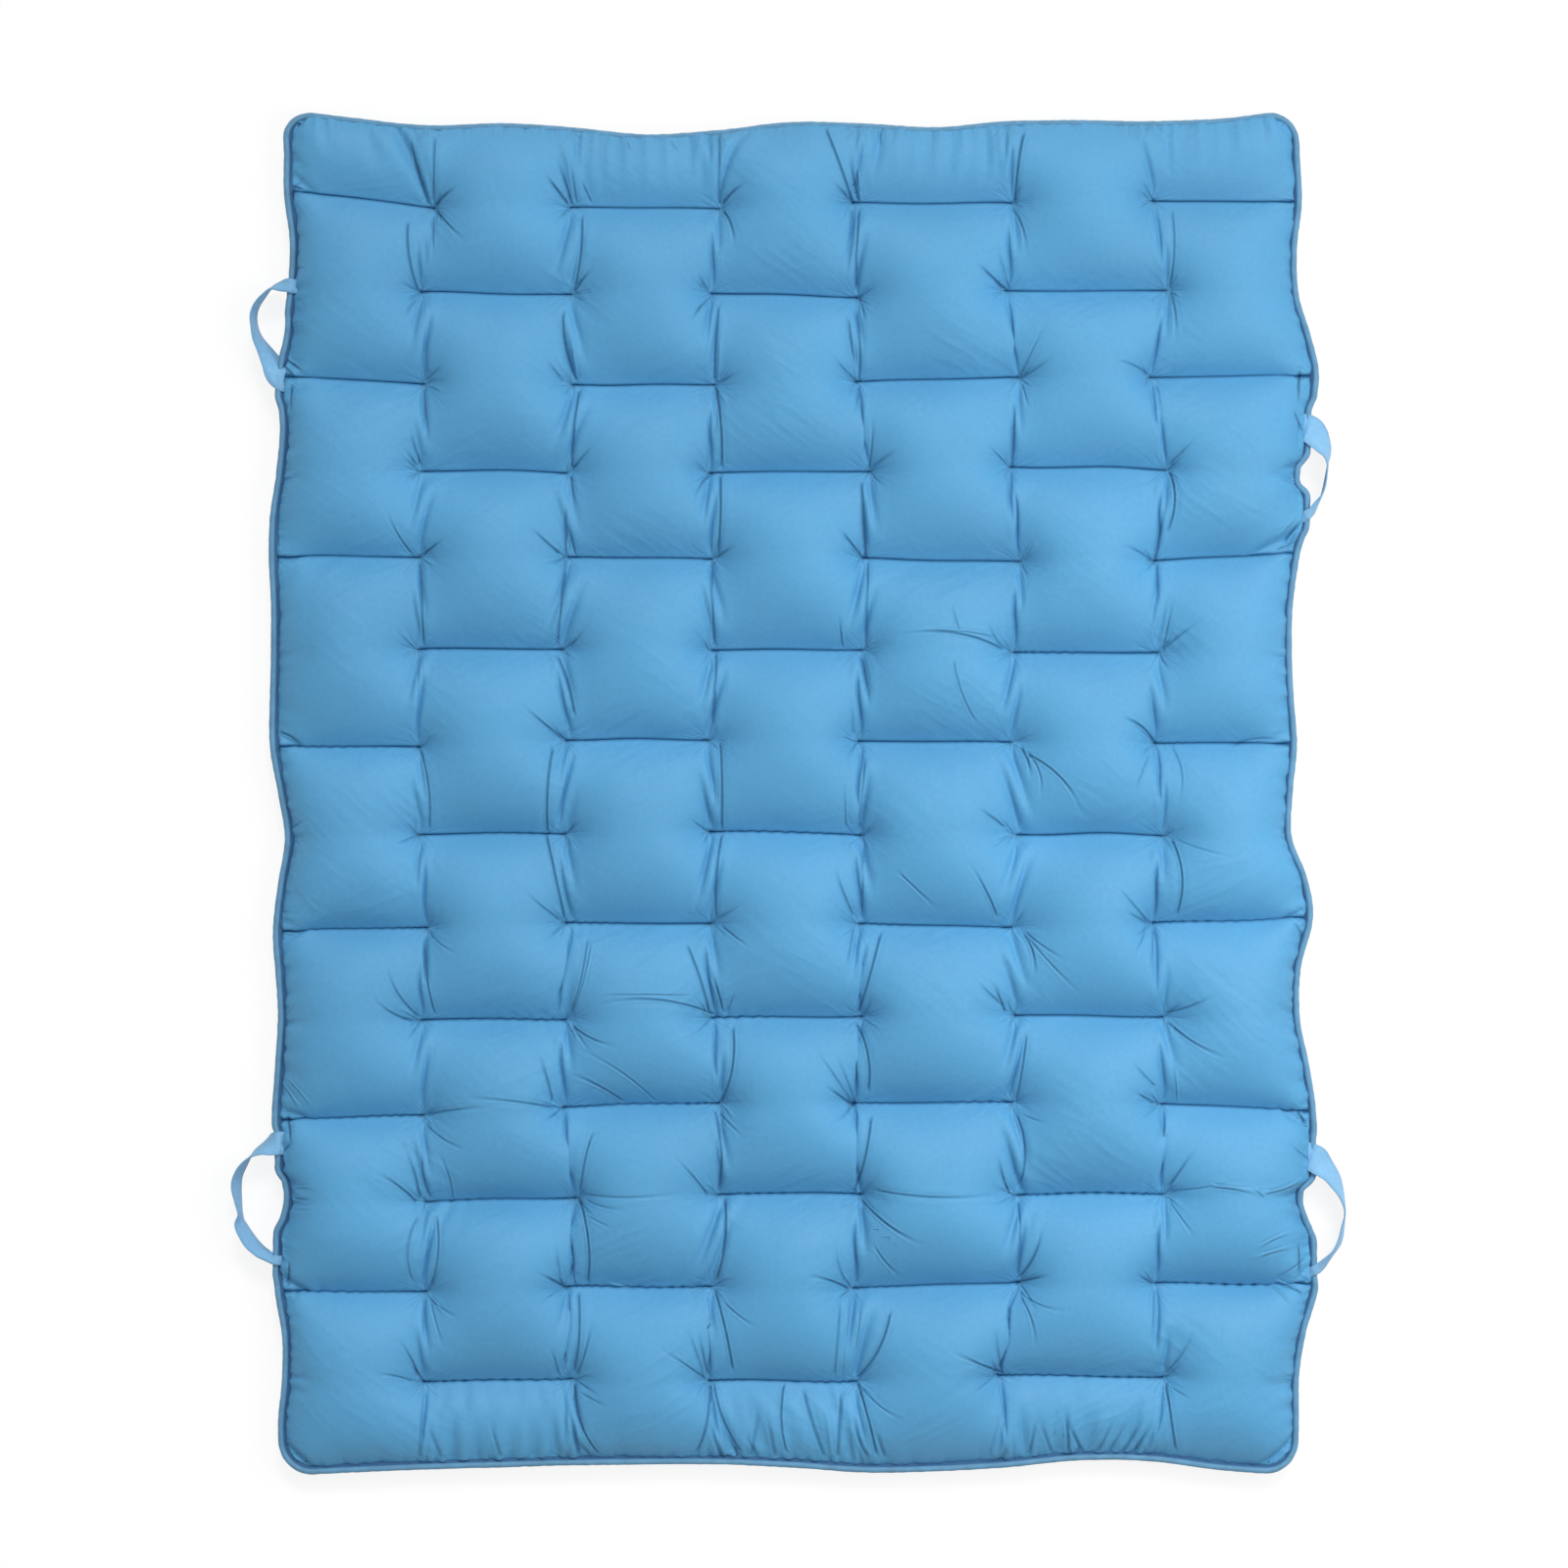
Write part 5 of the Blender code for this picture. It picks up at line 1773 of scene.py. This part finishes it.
    def fold_lines(self, bench: NodeBench) -> tuple[Socket, Socket]:
        """The fine lines of the folds, from what the cover's points carry.

        Args:
            bench: The material's bench.

        Returns:
            Their height in millimetres, and how deep in shade they lie.
        """
        height, shade = None, None
        for number in range(self.fold_layers):
            value = bench.add("ShaderNodeAttribute", attribute_name=f"fold_{number}").outputs["Vector"]
            parts = bench.add("ShaderNodeSeparateXYZ", {0: value})
            share = bench.sum("DIVIDE", parts.outputs[0], parts.outputs[2])
            hump = bench.bell(share)
            foot = bench.sum("SUBTRACT", bench.sum("ABSOLUTE", share), self.foot_place)
            hollow = bench.bell(foot, self.foot_steepness)
            profile = bench.scaled(hollow, -self.crease_hollow, hump)
            line = bench.times(parts.outputs[1], profile)
            # Painted shade: the deeper a crease is pressed in, the darker its colour is painted.
            depth = bench.sum("MAXIMUM", bench.times(line, -self.crease_depth), 0.0)
            dark = bench.times(depth, depth)
            height = line if height is None else bench.plus(height, line)
            shade = dark if shade is None else bench.plus(shade, dark)
        return height, bench.sum("MINIMUM", shade, 1.0)

    def make(self) -> bpy.types.Material:
        """The material."""
        bench = NodeBench(self.name)
        place, across, along = bench.place, bench.first, bench.second
        patches, specks = bench.noise(place, 7, 3), bench.noise(place, 240, 2)
        tone = bench.plus(bench.times(patches, 0.6), bench.times(specks, 0.4))
        colour = bench.tones(tone, shades(self.colour, self.tone_spread))
        weave = bench.times(bench.ripple(across, self.thread_pitch), bench.ripple(along, self.thread_pitch))
        bench.set(Sheen_Weight=self.sheen)
        layers = []
        if self.fold_layers:
            height, shade = self.fold_lines(bench)
            layers.append((height, 0.001, self.crease_strength))
            # Painted shade: the colour is mixed towards a deep blue in the creases and right beside the
            # seams, and the specular and sheen fade there too.
            painted_crease_shade = bench.times(shade, self.crease_shade)
            sewn = bench.times(self.seam_shade(bench), self.seam_shade_share)
            depth = bench.sum("MAXIMUM", painted_crease_shade, sewn)
            colour = bench.mix(depth, colour, self.painted_shade_colour)
            outside_painted_shade = bench.sum("SUBTRACT", 1.0, depth)
            bench.feed(bench.times(outside_painted_shade, 0.5), "Specular IOR Level")
            bench.feed(bench.times(outside_painted_shade, self.sheen), "Sheen Weight")
        bench.feed(colour, "Base Color")
        bench.emboss(
            *layers,
            (self.seam_end_gathers(bench), self.gather_depth, 0.9),
            (self.edge_puckers(bench), self.edge_depth, 1.0),
            (self.loose_wrinkles(bench), self.wrinkle_depth, 0.5),
            (bench.noise(place, 75, 3), self.pucker_depth, 0.5),
            (weave, self.weave_depth, 0.35),
        )
        least = self.roughness - self.gloss_spread / 2
        bench.feed(bench.scaled(bench.noise(place, 30, 2), self.gloss_spread, least), "Roughness")
        bench.set(Sheen_Roughness=0.4, Sheen_Tint=(0.75, 0.88, 1.0, 1.0))
        return bench.material


@dataclass(frozen=True)
class PipingFinish:
    """Cloth cut on the bias and wrapped over a cord."""

    name: str = "piping_cloth"
    colour: tuple[float, float, float] = (0.11, 0.295, 0.475)
    thread_pitch: float = 0.0006
    weave_depth: float = 0.00006
    # The colour of the painted shade on the flange down in the groove.
    painted_groove_shade_colour: tuple[float, float, float] = (0.010, 0.085, 0.23)
    groove_start: float = 0.0066
    groove_blend: float = 0.0016
    groove_shade: float = 0.85

    def make(self) -> bpy.types.Material:
        """The material."""
        bench = NodeBench(self.name)
        place, run, around = bench.place, bench.first, bench.second
        colour = bench.tones(bench.noise(place, 90, 3), shades(self.colour, 0.16))
        # Painted shade: the flange, in the groove between the bead and the cover, is mixed towards a deep
        # blue.
        start = -self.groove_start / self.groove_blend
        flange = bench.clamp(bench.scaled(around, 1 / self.groove_blend, start))
        colour = bench.mix(bench.times(flange, self.groove_shade), colour, self.painted_groove_shade_colour)
        bench.feed(colour, "Base Color")
        one_way = bench.ripple(bench.plus(run, around), self.thread_pitch)
        other_way = bench.ripple(bench.sum("SUBTRACT", run, around), self.thread_pitch)
        bench.emboss(
            (bench.noise(place, 320, 2), 0.0003, 0.4),
            (bench.times(one_way, other_way), self.weave_depth, 0.5),
        )
        bench.set(Roughness=0.65, Sheen_Weight=0.12, Sheen_Roughness=0.5, Sheen_Tint=(0.7, 0.85, 1.0, 1.0))
        return bench.material


@dataclass(frozen=True)
class WebbingFinish:
    """Woven webbing: ribs along it, a herringbone across them and firm edges."""

    name: str = "webbing_weave"
    colour: tuple[float, float, float] = (0.21, 0.485, 0.765)
    half_width: float = 0.0125
    rib_pitch: float = 0.0016
    pick_pitch: float = 0.0011
    rib_depth: float = 0.00022

    def make(self) -> bpy.types.Material:
        """The material."""
        bench = NodeBench(self.name)
        place, across, run = bench.place, bench.first, bench.second
        rib = bench.ripple(across, self.rib_pitch)
        slant = bench.times(bench.sum("ABSOLUTE", rib), self.pick_pitch * 0.5)
        pick = bench.ripple(bench.plus(run, slant), self.pick_pitch)
        height = bench.plus(bench.times(rib, 0.7), bench.times(pick, 0.45))
        edge = bench.sum("DIVIDE", bench.sum("ABSOLUTE", across), self.half_width)
        worn = bench.times(bench.noise(place, 260, 3), 0.5)
        share = bench.plus(bench.times(bench.sum("POWER", edge, 6.0), 0.5), worn)
        deep = tuple(c * 0.78 for c in self.colour)
        light = tuple(min(c * 1.12, 1) for c in self.colour)
        bench.feed(bench.tones(share, [(0.12, light), (0.3, self.colour), (0.8, deep)]), "Base Color")
        bench.emboss((height, self.rib_depth, 0.6), (bench.noise(place, 900, 2), 0.0001, 0.3))
        bench.set(Roughness=0.62, Sheen_Weight=0.25, Sheen_Roughness=0.45, Sheen_Tint=(0.8, 0.88, 1.0, 1.0))
        return bench.material


@dataclass(frozen=True)
class ThreadFinish:
    """Twisted sewing thread."""

    name: str = "quilting_thread"
    # Darker than the cover: partly the thread's own dye, and partly painted shade of the narrow seam valley
    # it lies in.
    colour: tuple[float, float, float] = (0.035, 0.16, 0.36)
    twist_pitch: float = 0.0007

    def make(self) -> bpy.types.Material:
        """The material."""
        bench = NodeBench(self.name)
        place, run, around = bench.place, bench.first, bench.second
        bench.feed(bench.tones(bench.noise(place, 500, 2), shades(self.colour, 0.2)), "Base Color")
        ply = bench.ripple(bench.plus(run, bench.times(around, 1.5)), self.twist_pitch)
        bench.emboss((ply, 0.00006, 0.6))
        bench.set(Roughness=0.5, Sheen_Weight=0.2)
        return bench.material


def wire(tree: bpy.types.NodeTree, *pairs: tuple[Socket, Socket]) -> None:
    """Lead each pair's first socket to its second."""
    for source, target in pairs:
        tree.links.new(source, target)


@dataclass
class Studio:
    """A plain pale floor, soft light and the camera above the pad."""

    ambient: float = 0.42
    key_share: float = 0.325
    key_height: float = 48.0
    key_heading: float = -10.0
    key_angle: float = 16.0
    fill_power: float = 11.2
    fill_place: tuple[float, float, float] = (1.0, 0.1, 1.3)
    fill_size: float = 0.9
    floor_glow: float = 0.86
    floor_tone: float = 0.16
    floor_bounce: float = 0.7
    floor_size: float = 14.0
    floor_drop: float = 0.0003
    camera_height: float = 4.02
    camera_lens: float = 102.4
    camera_place: tuple[float, float] = (-0.00483, 0.00791)
    sensor_width: float = 36.0
    view_end: float = 50.0

    def seen_rays(self, tree: bpy.types.NodeTree) -> Socket:
        """1 for the rays that show the background, whether straight, mirrored or through something."""
        path = tree.nodes.new("ShaderNodeLightPath")
        total = path.outputs["Is Camera Ray"]
        for name in ("Is Glossy Ray", "Is Transmission Ray"):
            node = tree.nodes.new("ShaderNodeMath")
            node.operation = "MAXIMUM"
            wire(tree, (total, node.inputs[0]), (path.outputs[name], node.inputs[1]))
            total = node.outputs[0]
        return total

    def light_world(self) -> None:
        """Light the pad evenly from all round, and show white behind it."""
        world = bpy.data.worlds.new("studio_air")
        bpy.context.scene.world = world
        world.use_nodes = True
        tree = world.node_tree
        tree.nodes.clear()
        mix, output = tree.nodes.new("ShaderNodeMixShader"), tree.nodes.new("ShaderNodeOutputWorld")
        wire(tree, (self.seen_rays(tree), mix.inputs[0]), (mix.outputs[0], output.inputs[0]))
        for socket, strength in ((mix.inputs[1], self.ambient), (mix.inputs[2], 1.0)):
            glow = tree.nodes.new("ShaderNodeBackground")
            glow.inputs[0].default_value = (1.0, 1.0, 1.0, 1.0)
            glow.inputs[1].default_value = strength
            wire(tree, (glow.outputs[0], socket))

    def hang_key(self) -> None:
        """Hang the soft key light over the rear end."""
        lamp = bpy.data.lights.new("key_light", "SUN")
        lamp.angle = math.radians(self.key_angle)
        lamp.energy = self.key_share * math.pi / math.sin(math.radians(self.key_height))
        key = add_object("key_light", lamp)
        key.rotation_euler = (math.radians(self.key_height - 90), 0, math.radians(self.key_heading))

    def hang_fill(self) -> None:
        """Hang a wide lamp over the right side, which lights that side of the pad a little more."""
        lamp = bpy.data.lights.new("fill_light", "AREA")
        lamp.energy, lamp.size = self.fill_power, self.fill_size
        fill = add_object("fill_light", lamp)
        fill.location = self.fill_place
        fill.rotation_euler = (-Vector(self.fill_place)).to_track_quat("-Z", "Y").to_euler()
        fill.visible_camera = False

    def lay_floor(self) -> None:
        """Lay the white floor that keeps the pad's soft shadow."""
        half = self.floor_size / 2
        mesh = bpy.data.meshes.new("floor")
        corners = [(x * half, y * half, -self.floor_drop) for x, y in ((-1, -1), (1, -1), (1, 1), (-1, 1))]
        mesh.from_pydata(corners, [], [(0, 1, 2, 3)])
        floor = add_object("floor", mesh)
        material = bpy.data.materials.new("floor_paper")
        material.use_nodes = True
        tree = material.node_tree
        tree.nodes.clear()
        bounce, seen = tree.nodes.new("ShaderNodeBsdfDiffuse"), tree.nodes.new("ShaderNodeBsdfDiffuse")
        bounce.inputs[0].default_value = (*[self.floor_bounce] * 3, 1)
        seen.inputs[0].default_value = (*[self.floor_tone] * 3, 1)
        glow, both = tree.nodes.new("ShaderNodeEmission"), tree.nodes.new("ShaderNodeAddShader")
        glow.inputs[1].default_value = self.floor_glow
        mix, output = tree.nodes.new("ShaderNodeMixShader"), tree.nodes.new("ShaderNodeOutputMaterial")
        wire(
            tree, (seen.outputs[0], both.inputs[0]), (glow.outputs[0], both.inputs[1]),
            (self.seen_rays(tree), mix.inputs[0]), (bounce.outputs[0], mix.inputs[1]),
            (both.outputs[0], mix.inputs[2]), (mix.outputs[0], output.inputs[0]),
        )
        mesh.materials.append(material)

    def place_camera(self) -> None:
        """Hold the camera straight above the pad, with its rear end at the top of the picture."""
        lens = bpy.data.cameras.new("camera")
        lens.lens = self.camera_lens
        lens.sensor_width = self.sensor_width
        lens.clip_end = self.view_end
        camera = add_object("camera", lens)
        camera.location = (*self.camera_place, self.camera_height)
        bpy.context.scene.camera = camera

    def set_up(self) -> None:
        """Build the whole studio."""
        bpy.context.scene.view_settings.view_transform = "Standard"
        self.light_world()
        self.hang_key()
        self.hang_fill()
        self.lay_floor()
        self.place_camera()


def main() -> None:
    """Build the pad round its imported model."""
    logging.basicConfig(level=logging.INFO, format="%(message)s")
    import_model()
    plan = PadPlan()
    Studio().set_up()

    body = QuiltedBody(plan, Gathers(plan).all())
    levels = None
    top = body.blow_up(Face.TOP, levels)
    under = body.blow_up(Face.UNDER, 2)
    cover = MicrofibreFinish("quilt_cover_satin", (0.083, 0.338, 0.605), fold_layers=FoldLayers.count).make()
    under_cover = MicrofibreFinish("under_cover_cloth", (0.075, 0.27, 0.53), roughness=0.6, sheen=0.1).make()
    piece = body.build(top, under, [cover, under_cover])
    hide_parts("top_cover", "bottom_cover", "fibre_fill")
    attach(piece, "pad")
    LOG.info("quilted_body: %d faces, crown at %.1f mm", len(piece.data.polygons), top[..., 2].max() * 1000)

    thread = QuiltingThread(plan)
    thread_finish = ThreadFinish().make()
    for name, grid, face, slot in (
        ("top_quilting_thread", top, Face.TOP, "quilt_cover"),
        ("under_quilting_thread", under, Face.UNDER, "under_cover"),
    ):
        piece = thread.build(name, grid, face, thread_finish)
        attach(piece, "pad")
        LOG.info("%s: %d faces", name, len(piece.data.polygons))

    piping = Piping(plan).build(PipingFinish().make())
    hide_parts("edge_piping")
    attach(piping, "pad")
    LOG.info("piping: %d faces", len(piping.data.polygons))

    webbing = WebbingFinish().make()
    for loop_plan in plan.loops:
        loop = GrabLoop(plan, loop_plan)
        strap = loop.build(webbing)
        loop.hang(strap)
        LOG.info("%s: %d faces", strap.name, len(strap.data.polygons))


if __name__ == "__main__":
    main()
